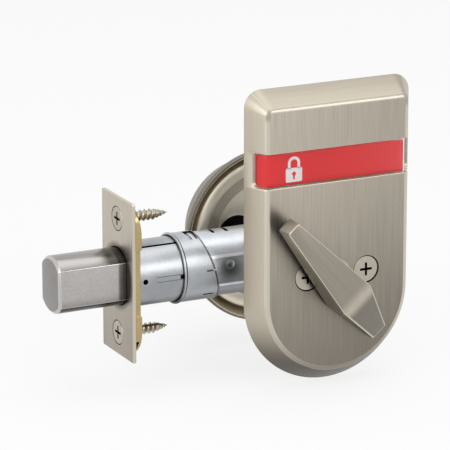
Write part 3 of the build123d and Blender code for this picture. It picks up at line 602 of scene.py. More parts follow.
def turned_metal(name, colour, rough=0.3, streak=0.3):
    """Satin metal brushed round an axis along Y, as a lathe leaves it."""
    finish = Finish(name)
    x, y, z = (finish.reach(axis) for axis in "XYZ")
    radius = (x * x + z * z) ** 0.5
    bearing = z.math("ARCTAN2", z, x)
    across, along = 1400.0, 1.2
    rings = {"X": radius * across, "Y": y * across, "Z": bearing * along}
    at = finish.node("ShaderNodeCombineXYZ", {}, rings, "Vector")
    streaks = finish.noise(at, scale=1.0, detail=3.0, rough=0.65)
    values = {"Base Color": finish.tint(colour, (1 - streak / 2) + streaks * streak), "Metallic": 1.0}
    values["Roughness"] = (rough - 0.05) + streaks * 0.10
    values["Normal"] = finish.bump(streaks, 0.008 * MM)
    return finish.surface(values)


def plated_metal(name, colour, rough=0.12, cloud=0.12, ripple=0.01 * MM, fades=()):
    """Bright plating, a little cloudy and a little uneven."""
    finish = Finish(name)
    at = finish.place()
    clouds = finish.noise(at, scale=140.0, detail=3.0, rough=0.6)
    grain = finish.noise(at, scale=2600.0, detail=2.0, rough=0.5)
    mottle = finish.noise(at, scale=900.0, detail=2.0, rough=0.6)
    shade = finish.faded((1.0 - 1.5 * cloud) + clouds * (2 * cloud) + mottle * cloud, fades)
    values = {"Base Color": finish.tint(colour, shade), "Metallic": 1.0}
    values["Roughness"] = (rough - 0.06) + clouds * 0.08 + grain * 0.03 + mottle * 0.04
    values["Normal"] = finish.bump(clouds * 4.0 + grain * 0.3, ripple)
    return finish.surface(values)


def ground_metal(name, colour, rough=0.3, fades=()):
    """Ground steel with a speckled skin."""
    finish = Finish(name)
    at = finish.place()
    specks = finish.noise(at, scale=2400.0, detail=3.0, rough=0.75)
    patches = finish.noise(at, scale=160.0, detail=2.0, rough=0.5)
    shade = finish.faded(0.52 + specks * 0.76 + patches * 0.20, fades)
    values = {"Base Color": finish.tint(colour, shade), "Metallic": 1.0}
    values["Roughness"] = (rough - 0.06) + specks * 0.12
    values["Normal"] = finish.bump(specks, 0.012 * MM)
    return finish.surface(values)


def plastic(name, colour, rough=0.3, grain=0.004 * MM, shine=0.5):
    """Moulded plastic with a faint grain."""
    finish = Finish(name)
    at = finish.place()
    skin = finish.noise(at, scale=1500.0, detail=2.0, rough=0.5)
    wide = finish.noise(at, scale=60.0, detail=1.0, rough=0.5)
    values = {"Base Color": finish.tint(colour, 0.94 + wide * 0.12), "Specular IOR Level": shine}
    values["Roughness"] = (rough - 0.04) + skin * 0.08
    values["Normal"] = finish.bump(skin, grain)
    return finish.surface(values)


def clear_plastic(name):
    """Clear plastic: what is behind shows through, and the surface mirrors at a glance."""
    finish = Finish(name)
    at = finish.place()
    haze = finish.noise(at, scale=220.0, detail=1.0, rough=0.5)
    edge = finish.node("ShaderNodeFresnel", {}, {"IOR": 1.45}, "Fac")
    clear = finish.node("ShaderNodeBsdfTransparent", {}, {"Color": (0.98, 0.98, 0.98, 1)}, "BSDF")
    mirror = {"Color": (1, 1, 1, 1), "Roughness": 0.03 + haze * 0.03}
    mirror = finish.node("ShaderNodeBsdfAnisotropic", {}, mirror, "BSDF")
    values = {"Fac": edge * 0.45, "Shader": clear, "Shader_001": mirror}
    return finish.end(finish.node("ShaderNodeMixShader", {}, values, "Shader"))


def skin(rings, looped=False):
    """A mesh over rings of points, capped at both ends or joined end to end."""
    mesh = bmesh.new()
    rows = [[mesh.verts.new(point) for point in ring] for ring in rings]
    following = rows[1:] + rows[:1] if looped else rows[1:]
    for row, after in zip(rows, following):
        for i in range(len(row)):
            j = (i + 1) % len(row)
            mesh.faces.new((row[i], row[j], after[j], after[i]))
    if not looped:
        mesh.faces.new(rows[0][::-1])
        mesh.faces.new(rows[-1])
    bmesh.ops.recalc_face_normals(mesh, faces=mesh.faces)
    return mesh


def softened(points, radius):
    """A closed profile with each corner rounded, by at most a share of its shorter side."""
    made = []
    for i, point in enumerate(points):
        corner = Vector(point)
        before = Vector(points[i - 1]) - corner
        after = Vector(points[(i + 1) % len(points)]) - corner
        reach = min(radius, before.length * MOST_ROUNDED, after.length * MOST_ROUNDED)
        start = corner + before.normalized() * reach
        end = corner + after.normalized() * reach
        for step in range(SOFT_STEPS + 1):
            t = step / SOFT_STEPS
            made.append(start * (1 - t) ** 2 + corner * 2 * t * (1 - t) + end * t**2)
    return made


def spun(profile, axis, hollow=False, steps=ROUND_STEPS, at=(0, 0, 0)):
    """A profile of (along, radius) points, turned about an axis along X or Y."""
    rings = []
    for along, radius in profile:
        ring = []
        for i in range(steps):
            t = math.tau * i / steps
            side, up = radius * math.cos(t), radius * math.sin(t)
            point = (along, side, up) if axis == "X" else (side, along, up)
            ring.append(Vector(point) + Vector(at))
        rings.append(ring)
    return skin(rings, looped=hollow)


def rod(radius, start, end, axis, at=(0, 0, 0), steps=ROD_STEPS):
    """A round bar along X or Y."""
    return spun([(start, radius), (end, radius)], axis, steps=steps, at=at)


def box_mesh(x, y, z):
    """A box between the low and high value of each axis."""
    return prism([(x[0], z[0]), (x[1], z[0]), (x[1], z[1]), (x[0], z[1])], y, "Y")


def arc(x, z, radius, start, end, steps):
    """Points along an arc, from one angle in degrees to another."""
    turns = [math.radians(start + (end - start) * i / steps) for i in range(steps + 1)]
    return [(x + radius * math.cos(t), z + radius * math.sin(t)) for t in turns]


def line(start, end, steps):
    """Points along a straight line, from its start to its end."""
    shares = [i / steps for i in range(steps + 1)]
    return [(start[0] + (end[0] - start[0]) * t, start[1] + (end[1] - start[1]) * t) for t in shares]


def rounded_box(across, up, radius):
    """Points round a rectangle with rounded corners, between low and high values."""
    (left, right), (foot, head) = across, up
    inner = [(right - radius, head - radius), (left + radius, head - radius),
             (left + radius, foot + radius), (right - radius, foot + radius)]
    points = []
    for quarter, (a, b) in enumerate(inner):
        points += arc(a, b, radius, 90 * quarter, 90 * (quarter + 1), BOX_STEPS)
    return points


def flatted_ring(x, radius, half, steps):
    """Points round a circle with two side flats, at a place on X."""
    corner = math.degrees(math.acos(half / radius))
    points = arc(0, 0, radius, corner, 180 - corner, steps)
    points += arc(0, 0, radius, 180 + corner, 360 - corner, steps)
    return [(x, y, z) for y, z in points]


def prism(outline, span, axis):
    """An outline made solid between two places on X or Y."""
    rings = [[(along, a, b) if axis == "X" else (a, along, b) for a, b in outline] for along in span]
    return skin(rings)


def thing(name, mesh):
    """An object for a mesh, linked to the scene, with room for its finishes."""
    data = bpy.data.meshes.new(name)
    mesh.to_mesh(data)
    for _ in range(MOST_FINISHES):
        data.materials.append(None)
    mesh.free()
    made = bpy.data.objects.new(name, data)
    bpy.context.scene.collection.objects.link(made)
    return made


def bake(piece):
    """Applies a piece's modifiers to its mesh."""
    graph = bpy.context.evaluated_depsgraph_get()
    fresh = bpy.data.meshes.new_from_object(piece.evaluated_get(graph))
    piece.modifiers.clear()
    old = piece.data
    piece.data = fresh
    bpy.data.meshes.remove(old)


def carve(piece, cutters, operation="DIFFERENCE", finish=0):
    """Cuts a piece with meshes that are then thrown away; finish marks the cut faces."""
    for mesh in cutters:
        for face in mesh.faces:
            face.material_index = max(face.material_index, finish)
        cutter = thing("cutter", mesh)
        change = piece.modifiers.new("carve", "BOOLEAN")
        change.operation = operation
        change.solver = "EXACT"
        change.object = cutter
        bake(piece)
        bpy.data.objects.remove(cutter)


def bevel(piece, width, segments=2, angle=BEVEL_ANGLE):
    """Rounds a piece's sharp edges."""
    change = piece.modifiers.new("bevel", "BEVEL")
    change.width = width
    change.segments = segments
    change.limit_method = "ANGLE"
    change.angle_limit = angle
    change.use_clamp_overlap = False
    bake(piece)


def settle(piece, material, body, replaced=(), angle=SMOOTH_ANGLE, cut=None, choose=None):
    """Gives a piece its finishes and joins it to the body that it moves with."""
    materials = list(material) if isinstance(material, list) else [material]
    for face in piece.data.polygons:
        if face.material_index == CUT:
            face.material_index = len(materials) if cut else 0
        elif choose:
            face.material_index = choose(face)
    if cut:
        materials.append(cut)
    while len(piece.data.materials) > len(materials):
        piece.data.materials.pop()
    for place, each in enumerate(materials):
        piece.data.materials[place] = each
    piece.data.shade_smooth()
    piece.data.set_sharp_from_angle(angle=angle)
    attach(piece, body)
    if replaced:
        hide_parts(*replaced)


def recess(place, axis):
    """A cutter for a cross recess that narrows inwards along X or Y."""
    screw = sizes("screw_sizes")
    rings = []
    for depth, share in ((-screw.recess_lead, 1.15), (0.0, 1.0), (screw.recess_depth, 0.3)):
        reach = screw.recess_reach * share
        half = screw.recess_width / 2 * (0.4 + 0.6 * share)
        ring = []
        for quarter in range(4):
            turn = Matrix.Rotation(QUARTER * quarter, 2)
            ring += [turn @ Vector(point) for point in ((reach, -half), (reach, half), (half, half))]
        rings.append([(depth, a, b) if axis == "X" else (a, depth, b) for a, b in ring])
    return skin([[Vector(point) + Vector(place) for point in ring] for ring in rings])


def cover_depth():
    """Places of the cover's front and of the door's face, on Y."""
    return low("escutcheon").y, high("escutcheon").y


def eased(y, draft):
    """How much the rounded front edge takes off a drafted side at a place on Y."""
    edge = sizes("cover_sizes").edge
    front, door = cover_depth()
    run = QUARTER - math.atan2(draft, door - front)
    past = y - front
    if past >= edge * (1 - math.cos(run)):
        return 0.0
    start = edge * math.tan(run / 2)
    return draft * past / (door - front) + start - math.sqrt(edge**2 - (edge - past) ** 2)


def cover_ring(y, inset):
    """Points round the cover at a place on Y: square above, half round below."""
    cover = sizes("cover_sizes")
    front, door = cover_depth()
    forward = (door - y) / (door - front)
    lost = eased(y, cover.draft)
    half = high("escutcheon").x - cover.draft * forward - lost - inset
    top = high("escutcheon").z - cover.top_draft * forward - eased(y, cover.top_draft) - inset
    corner = cover.rear_corner + (cover.front_corner - cover.rear_corner) * forward - lost - inset
    corner = max(corner, cover.least_corner)
    centre = low("escutcheon").z + high("escutcheon").x + cover.round_drop * forward
    shoulder = top - corner
    stretches = [
        line((-half, centre), (-half, shoulder), SIDE_STEPS),
        arc(corner - half, shoulder, corner, 180, 90, CORNER_STEPS),
        line((corner - half, top), (half - corner, top), TOP_STEPS),
        arc(half - corner, shoulder, corner, 90, 0, CORNER_STEPS),
        line((half, shoulder), (half, centre), SIDE_STEPS),
        arc(0, centre, half, 0, -180, FOOT_STEPS),
    ]
    return [(x, y, z) for stretch in stretches for x, z in stretch[:-1]]


def cover_shell():
    """The cover's closed shell, with a rounded edge round its front."""
    cover = sizes("cover_sizes")
    front, door = cover_depth()
    run = QUARTER - math.atan2(cover.draft, door - front)
    places = [(front + cover.edge * (1 - math.cos(run * i / EDGE_STEPS)), 0) for i in range(EDGE_STEPS + 1)]
    places += [(door - cover.rear_edge, 0), (door, cover.rear_edge), (door, cover.wall)]
    places.append((front + cover.wall, cover.wall))
    return skin([cover_ring(y, inset) for y, inset in places])


def window_band(gap):
    """The cutter for the window: a band across the front that wraps round both sides."""
    cover = sizes("cover_sizes")
    lens_low, lens_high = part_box("window_lens")
    depth = (low("escutcheon").y - 2 * cover.wall, lens_high.y + cover.window_gap - gap)
    up = (lens_low.z - cover.window_gap + gap, lens_high.z + cover.window_gap - gap)
    reach = high("escutcheon").x * 1.3
    return prism(rounded_box(depth, up, cover.window_corner - gap), (-reach, reach), "X")


def mounting_places():
    """Places of the two mounting screws across the cover."""
    return pair(sizes("screw_sizes").spacing)


def make_cover():
    """The escutcheon: shell, window, screw holes with their bosses, and the bush's hole."""
    cover = sizes("cover_sizes")
    front, door = cover_depth()
    inner = front + cover.wall
    boss = cover.head_hole + cover.boss_wall
    piece = thing("cover", cover_shell())
    for x in mounting_places():
        carve(piece, [rod(boss, inner - cover.boss_sink, front + cover.boss_depth, "Y", (x, 0, 0))], "UNION")
    carve(piece, [window_band(0)])
    bevel(piece, cover.slot_edge)
    cuts = [rod(cover.bush_hole, front - PAST, inner + PAST, "Y")]
    rim = [(front - cover.hole_edge, cover.head_hole + 2 * cover.hole_edge),
           (front + cover.hole_edge, cover.head_hole)]
    for x in mounting_places():
        at = (x, 0, 0)
        carve(piece, [rod(cover.head_hole, front - PAST, front + cover.head_depth, "Y", at, ROUND_STEPS)])
        cuts += [spun(rim, "Y", at=at), rod(cover.shank_hole, front, door, "Y", at)]
    # Painted shade: the faces cut here, in the bush's hole, the chamfers and the shank holes, are black.
    carve(piece, cuts, finish=CUT)
    settle(piece, cover_metals(), "lock_case", ["escutcheon"],
           cut=painted_shade_metal("cover_gap_shade"), choose=cover_metal)
    make_lens()


def cover_metals():
    """The cover's finishes, in the order in which cover_metal counts them. They are painted light and shade
    on one nickel: the front darkens towards its foot and its right side, the sides are a lit copy that
    darkens on the half round, the top a shaded copy, the edges a painted highlight that darkens at the foot
    and on top, and the rear edge a painted dark line.
    """
    colours = sizes("colours")
    # Painted shade: the front darker towards its foot and its right side, the sides and edges darker on the
    # half round, the edge highlight dimmed along the top.
    shade_below = Fade("Z", -40 * MM, 48 * MM, 0.50, 1.0)
    across = Fade("X", -25 * MM, 27 * MM, 1.06, 0.88)
    side_foot_shade = Fade("Z", -34 * MM, -12 * MM, 0.22, 1.0)
    edge_foot_shade = Fade("Z", -36 * MM, -14 * MM, 0.5, 1.0)
    edge_top_shade = Fade("Z", 56.5 * MM, 58.5 * MM, 1.0, 0.7)
    shaded_top_colour = scaled(colours.nickel_lit, 0.76)
    rear_shade_colour = scaled(colours.nickel, 0.3)
    return [
        brushed_metal("nickel_front_shaded", colours.nickel, UPRIGHT, rough=0.34, streak=0.6, fades=[shade_below, across]),
        brushed_metal("nickel_side_lit", colours.nickel_lit, UPRIGHT, rough=0.4, streak=0.2, fades=[side_foot_shade]),
        brushed_metal("nickel_top_shaded", shaded_top_colour, SIDEWAYS, rough=0.34, streak=0.3),
        brushed_metal("nickel_edge_highlight", colours.nickel_edge_highlight, UPRIGHT, rough=0.34, streak=0.15,
                      fades=[edge_foot_shade, edge_top_shade]),
        brushed_metal("nickel_rear_shade", rear_shade_colour, UPRIGHT, rough=0.4, streak=0.2),
    ]


def cover_metal(face):
    """Which of the cover's finishes a face takes, by the way that it faces, which sets the light or shade
    painted on it.
    """
    front, side, top, edge, rear = range(5)
    ahead = -face.normal.y
    if ahead > COVER_FRONT:
        return front
    if ahead > COVER_EDGE:
        return edge
    if ahead < -COVER_REAR:
        return rear
    return top if face.normal.z > COVER_TOP else side


def make_lens():
    """The clear window: the part of the cover's shell that lies in its opening."""
    cover = sizes("cover_sizes")
    lens = thing("lens", cover_shell())
    carve(lens, [window_band(cover.window_gap)], "INTERSECT")
    bevel(lens, cover.lens_edge)
    settle(lens, clear_plastic("clear_window"), "lock_case", ["window_lens"])


def painted_shade_metal(name):
    """Painted shade: black for the walls and bottoms of gaps, slots and recesses, and for contact lines,
    where shade falls.
    """
    return plated_metal(name, sizes("colours").black, rough=0.6)


def padlock(height, raised):
    """A plain padlock sign: body with a keyhole, and a bow that can stand open."""
    flag = sizes("flag_sizes")
    face = low("status_flag").y
    depth = (face - flag.sign_skin, face + flag.sink)
    through = (depth[0] - PAST, depth[1] + PAST)
    half = flag.sign_width / 2
    x = flag.sign_x
    foot = height + flag.sign_low
    head = foot + flag.sign_height
    body = rounded_box((x - half, x + half), (foot, head), flag.sign_corner)
    piece = thing("padlock", prism(body, depth, "Y"))
    hole_up, slot_low, slot_high = (foot + flag.sign_height * share for share in (0.58, 0.18, 0.55))
    hole = rod(flag.keyhole, *through, "Y", (x, 0, hole_up), KEYHOLE_STEPS)
    slot = box_mesh((x - flag.keyhole_slot / 2, x + flag.keyhole_slot / 2), through, (slot_low, slot_high))
    carve(piece, [hole, slot])
    aside = raised * half * 1.5
    return [piece, thing("bow", padlock_bow(x + aside, head, depth))]


def padlock_bow(x, foot, depth):
    """The bow of the sign, as a bent flat strip that is let into its body."""
    flag = sizes("flag_sizes")
    outer = flag.sign_width * 0.37
    inner = outer - flag.sign_bow
    start = foot - flag.bow_sink
    rise = foot + flag.sign_rise
    outline = [(x - outer, start), *arc(x, rise, outer, 180, 0, SIGN_STEPS), (x + outer, start)]
    outline += [(x + inner, start), *arc(x, rise, inner, 0, 180, SIGN_STEPS), (x - inner, start)]
    return prism(outline, depth, "Y")


def make_flag():
    """The sliding flag: a red and a green band that wrap round, each with its sign, and a leg."""
    flag = sizes("flag_sizes")
    colours = sizes("colours")
    flag_low, flag_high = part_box("status_flag")
    front, back = flag_low.y, flag_high.y + flag.wrap
    outside = sizes("cover_sizes").wall + flag.gap
    inside = outside + flag.skin
    places = ((front, outside), (back, outside), (back, inside), (front + flag.skin, inside))
    piece = thing("flag", skin([cover_ring(y, inset) for y, inset in places]))
    window = high("window_lens").z - low("window_lens").z
    top = flag_high.z
    bottom = top - 2 * window - flag.gap
    split = (top + bottom) / 2
    wide = pair(high("escutcheon").x * 4)
    carve(piece, [box_mesh(wide, (front - PAST, back + PAST), (bottom, top))], "INTERSECT")
    carve(piece, [box_mesh(wide, (front - PAST, front + flag.seam_depth), (split, split + flag.seam))])
    bevel(piece, flag.edge)
    parted(piece, split)
    red = plastic("flag_red", colours.red, rough=0.35, shine=0.2)
    green = plastic("flag_green", colours.green, rough=0.35, shine=0.2)
    settle(piece, [red, green], "status_flag", choose=lambda face: int(face.center.z < split))
    print_white = plastic("sign_white", colours.white, rough=0.4)
    for height, raised in ((split, 0), (bottom, 1)):
        for sign in padlock(height, raised):
            settle(sign, print_white, "status_flag")
    make_leg(bottom, red)


def parted(piece, height):
    """Splits a piece's faces at a height, so that each side of it can take a finish of its own."""
    mesh = bmesh.new()
    mesh.from_mesh(piece.data)
    whole = mesh.verts[:] + mesh.edges[:] + mesh.faces[:]
    bmesh.ops.bisect_plane(mesh, geom=whole, plane_co=(0, 0, height), plane_no=(0, 0, 1))
    mesh.to_mesh(piece.data)
    mesh.free()


def make_leg(bottom, material):
    """The flag's leg, with the fork that the lift pin raises."""
    flag = sizes("flag_sizes")
    leg_low = low("status_flag")
    back = low("lift_arm").y + flag.pin_reach - flag.gap
    inner = -high("turn_spindle").x - flag.gap
    across = (inner - flag.leg_width, inner)
    head = bottom + flag.leg_joint
    piece = thing("flag_leg", box_mesh(across, (back - flag.leg_skin, back), (leg_low.z, head)))
    carve(piece, [box_mesh(across, (leg_low.y + flag.sink, back), (bottom + flag.sink, head))], "UNION")
    foot = leg_low.z + flag.fork_wall
    wide = (across[0] - PAST, across[1] + PAST)
    carve(piece, [box_mesh(wide, (back - flag.fork_depth, back + PAST), (foot, foot + flag.fork_height))])
    bevel(piece, flag.leg_edge)
    settle(piece, material, "status_flag", ["status_flag"])


def grip_section(reach, width, front, back):
    """Four corners of the grip, at a place along its length."""
    grip = sizes("grip_sizes")
    wide = width / 2 + grip.slope
    corners = [(-width / 2, front), (width / 2, front), (wide, back), (-wide, back)]
    return [Vector((reach, y, grip.offset + v)) for v, y in corners]


def make_grip():
    """The thumbturn's grip: three sections joined by flat facets."""
    grip = sizes("grip_sizes")
    face = low("escutcheon").y
    front = low("thumbturn").y
    hub_back = face - grip.hub_back
    narrow = grip_section(grip.narrow_reach, grip.narrow_width, front, face - grip.narrow_back)
    crease = grip_section(-grip.crease_reach, grip.crease_width, front, hub_back)
    tip = grip_section(-grip.tip_reach, grip.tip_width, face - grip.tip_front, hub_back)
    bends = [grip_bend(narrow, crease, tip, step / BEND_STEPS) for step in range(-BEND_STEPS, BEND_STEPS + 1)]
    turn = Matrix.Rotation(-QUARTER - grip.lean, 4, "Y")
    piece = thing("grip", skin([[turn @ point for point in section] for section in (narrow, *bends, tip)]))
    bevel(piece, grip.edge, 3, GRIP_ANGLE)
    carve(piece, [rod(grip.bore, hub_back - grip.bore_depth, hub_back + PAST, "Y")])
    settle(piece, grip_metals(front, face), "thumbturn", ["thumbturn"],
           GRIP_SMOOTH_ANGLE, choose=grip_metal)


def grip_metals(front, back):
    """The grip's finishes, in the order in which grip_metal counts them. They paint light and shade: a
    highlight across the crease, with the tip facet and the narrow facet darker, sides that darken towards the
    back, a painted highlight on the edges and a black back as the shade under the grip.
    """
    grip = sizes("grip_sizes")
    colours = sizes("colours")
    lean = (0, grip.lean + QUARTER, 0)
    bend_start = -grip.crease_reach - grip.blend
    bend_end = -grip.crease_reach + grip.blend
    tip_side_shade = Fade("X", bend_start - 2 * MM, bend_start + 3 * MM, 0.44, 1.1)
    narrow_side_shade = Fade("X", bend_start + 3 * MM, bend_end, 1.0, 0.6)
    shade_toward_back = Fade("Y", front, back, 0.8, 0.5)
    return [
        brushed_metal("nickel_grip", colours.nickel, LENGTHWAYS, lean, rough=0.32, streak=0.45,
                      fades=[tip_side_shade, narrow_side_shade]),
        brushed_metal("nickel_grip_side_shaded", colours.nickel, LENGTHWAYS, lean, rough=0.36, streak=0.3,
                      fades=[shade_toward_back]),
        brushed_metal("nickel_grip_edge_highlight", colours.nickel_edge_highlight, LENGTHWAYS, lean, rough=0.26, streak=0.15),
        painted_shade_metal("grip_back_shade"),
    ]


def grip_metal(face):
    """Which of the grip's finishes a face takes, by the way that it faces, which sets the light or shade
    painted on it.
    """
    front, side, edge, back = range(4)
    ahead = -face.normal.y
    if ahead > GRIP_FRONT:
        return front
    if ahead > GRIP_EDGE:
        return edge
    return back if ahead < -GRIP_BACK else side


def grip_bend(narrow, crease, tip, share):
    """A section near the grip's crease, from -1 on the narrow side to 1 on the tip's side."""
    grip = sizes("grip_sizes")
    toward = tip if share > 0 else narrow
    length = (toward[0] - crease[0]).length
    ring = [corner.lerp(end, abs(share) * grip.blend / length) for corner, end in zip(crease, toward)]
    drop = (tip[0].y - crease[0].y) / (crease[0].x - tip[0].x) * grip.blend
    for corner in ring[:2]:
        corner.y = crease[0].y + drop * (1 + share) ** 2 / 4
    return ring


def make_bolt():
    """The bolt: round, with two side flats, a chamfered tip, a bore and a slot for the yoke."""
    bolt = sizes("bolt_sizes")
    start, end = low("deadbolt").x, high("deadbolt").x
    reach = high("deadbolt").z
    rings = [bolt_ring(start, bolt.chamfer), bolt_ring(start + bolt.chamfer, 0), bolt_ring(end, 0)]
    piece = thing("bolt", skin(rings))
    carve(piece, [
        rod(bolt.bore, start + bolt.bore_inset, end + PAST, "X"),
        box_mesh((end - bolt.slot_depth, end + PAST), (-bolt.slot_half, bolt.slot_half), (-reach, reach)),
    ])
    bevel(piece, bolt.edge, angle=BOLT_ANGLE)
    settle(piece, bolt_metals(), "bolt", ["deadbolt"], choose=bolt_metal)


def bolt_metals():
    """The bolt's finishes, in the order in which bolt_metal counts them. They paint light and shade: the flat
    darker at its foot, the round darker underneath and in a band along its crown, both darker near the
    faceplate where its shadow and reflection fall, a shaded copy on the tip and a painted highlight on the
    edges.
    """
    steel = sizes("colours").steel
    plate = low("faceplate").x
    # Painted shade near the faceplate, at the flat's foot, along the round's crown and under it.
    plate_root_shade = Fade("X", plate - 3.3 * MM, plate - 2.5 * MM, 1.0, 0.4)
    near_plate_shade = Fade("X", plate - 8 * MM, plate - 5.5 * MM, 1.0, 0.5)
    flat_foot_shade = Fade("Z", -8 * MM, -3 * MM, 0.55, 1.0)
    crown = Fade("Z", 6.6 * MM, 8.6 * MM, 0.4, 0.75)
    under = Fade("Z", -8 * MM, 0, 0.15, 1.0)
    return [
        ground_metal("bolt_steel", steel, rough=0.3, fades=[flat_foot_shade, plate_root_shade]),
        ground_metal("bolt_tip_shaded", scaled(steel, 0.6), rough=0.34),
        ground_metal("bolt_edge_highlight", scaled(steel, 1.15), rough=0.25),
        plated_metal("bolt_round_shaded", steel, rough=0.2, fades=[crown, under, plate_root_shade, near_plate_shade]),
    ]


def bolt_metal(face):
    """Which of the bolt's finishes a face takes, by the way that it faces, which sets the light or shade
    painted on it.
    """
    flat, tip, edge, curved = range(4)
    if face.normal.x < -BOLT_TIP:
        return tip
    if face.normal.x < -BOLT_BEVEL:
        return edge
    if abs(face.normal.y) > BOLT_FLAT:
        return flat
    return edge if abs(face.normal.y) > FLAT_EDGE else curved


def bolt_ring(x, inset):
    """Points round the bolt's outline at a place on X."""
    return flatted_ring(x, high("deadbolt").z - inset, high("deadbolt").y - inset, BOLT_STEPS)


def make_faceplate():
    """The faceplate, with the bolt's hole and two countersunk holes."""
    plate = sizes("plate_sizes")
    screw = sizes("screw_sizes")
    gap = sizes("bolt_sizes").gap
    corner_low, corner_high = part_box("faceplate")
    front, rear = corner_low.x, corner_high.x
    outline = rounded_box((corner_low.y, corner_high.y), (corner_low.z, corner_high.z), plate.corner)
    piece = thing("faceplate", prism(outline, (front, rear), "X"))
    bevel(piece, plate.edge)
    mouth = high("faceplate_screws").y + plate.head_gap
    cone = [(front - PAST, mouth), (front, mouth), (front + screw.wood_head_depth, screw.wood_core)]
    cuts = [skin([bolt_ring(x, -gap) for x in (front - PAST, rear + PAST)])]
    cuts += [spun(cone, "X", at=(0, 0, z)) for z in wood_places()]
    carve(piece, cuts, finish=CUT)
    # Painted shade on the cut faces of the holes; faces that do not face along X take the painted edge
    # highlight.
    settle(piece, plate_metals(), "lock_case", ["faceplate"], cut=painted_shade_metal("plate_gap_shade"),
           choose=lambda face: int(abs(face.normal.x) < PLATE_FACE))


def plate_metals():
    """The finishes of the faceplate's face and of its edge. The face carries painted shade, darker towards
    its foot and round the bolt's hole, where the bolt's reflection falls; the edge is a painted highlight.
    """
    colours = sizes("colours")
    hole = high("deadbolt").z
    shade_below = Fade("Z", -29 * MM, 27 * MM, 0.80, 1.16)
    hole_shade = Fade((None, 0, 0), hole + 0.2 * MM, hole + 2.8 * MM, 0.3, 1.0)
    return [
        brushed_metal("nickel_plate", colours.nickel, UPRIGHT, rough=0.34, streak=0.35,
                      fades=[shade_below, hole_shade]),
        brushed_metal("nickel_plate_edge_highlight", colours.nickel_edge_highlight, UPRIGHT, rough=0.3, streak=0.15),
    ]


def wood_places():
    """Heights of the two wood screws."""
    return pair(sizes("screw_sizes").wood_spacing)


def make_backing_plate():
    """The bowed strengthening plate between the faceplate and the tube."""
    plate = sizes("plate_sizes")
    screw = sizes("screw_sizes")
    corner_low, corner_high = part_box("backing_plate")
    front, rear = corner_low.x, corner_high.x
    through = (front - PAST, rear + PAST)
    wide = (corner_low.y, corner_high.y)
    piece = thing("bowed_plate", prism(bowed_line(0), wide, "Y"))
    outline = rounded_box(wide, (corner_low.z, corner_high.z), plate.bow_corner)
    carve(piece, [prism(outline, through, "X")], "INTERSECT")
    inner = [(x, z) for x, z in bowed_line(plate.bow_skin) if x > front + plate.bow_skirt]
    open_end = [(x, z) for x, z in inner if z < plate.bow_open]
    hollow = []
    for across, part in ((pair(2 * plate.bow_side), inner), (wide, open_end)):
        part = [(front - PAST, part[0][1]), *part, (front - PAST, part[-1][1])]
        hollow.append(prism(part, scaled(across, 1.01), "Y"))
    carve(piece, hollow, finish=CUT)
    notch = wide[1] - plate.notch_depth
    outside = notch + plate.notch_reach
    cuts = [rod(high("deadbolt").z + plate.bolt_gap, *through, "X", steps=ROUND_STEPS)]
    for across in ((-outside, -notch), (notch, outside)):
        cuts.append(box_mesh(through, across, (-plate.notch_half, plate.notch_half)))
    cuts += [rod(screw.wood_core + plate.screw_gap, *through, "X", (0, 0, z)) for z in wood_places()]
    carve(piece, cuts)
    bevel(piece, plate.bow_edge, 1)
    brass = plated_metal("brass_plate", sizes("colours").brass, rough=0.28, cloud=0.16)
    # Painted shade: the hollow behind the bowed plate is black.
    settle(piece, brass, "lock_case", ["backing_plate"], cut=painted_shade_metal("bowed_hollow_shade"))


def bowed_line(inset):
    """The bowed plate's surface from the side: flat in the middle, curved to the faceplate."""
    plate = sizes("plate_sizes")
    corner_low, corner_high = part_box("backing_plate")
    bulge = corner_high.x - corner_low.x
    edge = corner_high.z - plate.bow_flat
    bend = (bulge**2 + edge**2) / (2 * bulge)
    rear = corner_high.x - inset
    points = []
    for i in range(BOW_STEPS + 1):
        z = corner_low.z + (corner_high.z - corner_low.z) * i / BOW_STEPS
        past = max(abs(z) - plate.bow_flat, 0)
        points.append((rear - (bend - inset) + math.sqrt(max((bend - inset) ** 2 - past**2, 0)), z))
    return points


THREAD_INPUTS = {
    "Radius": "NodeSocketFloat",
    "Point radius": "NodeSocketFloat",
    "Length": "NodeSocketFloat",
    "Point length": "NodeSocketFloat",
    "Height": "NodeSocketFloat",
    "Turns": "NodeSocketFloat",
    "Point turns": "NodeSocketFloat",
    "Steps": "NodeSocketInt",
    "Start": "NodeSocketVector",
    "Turn": "NodeSocketVector",
    "Gap": "NodeSocketVector",
    "Metal": "NodeSocketMaterial",
}


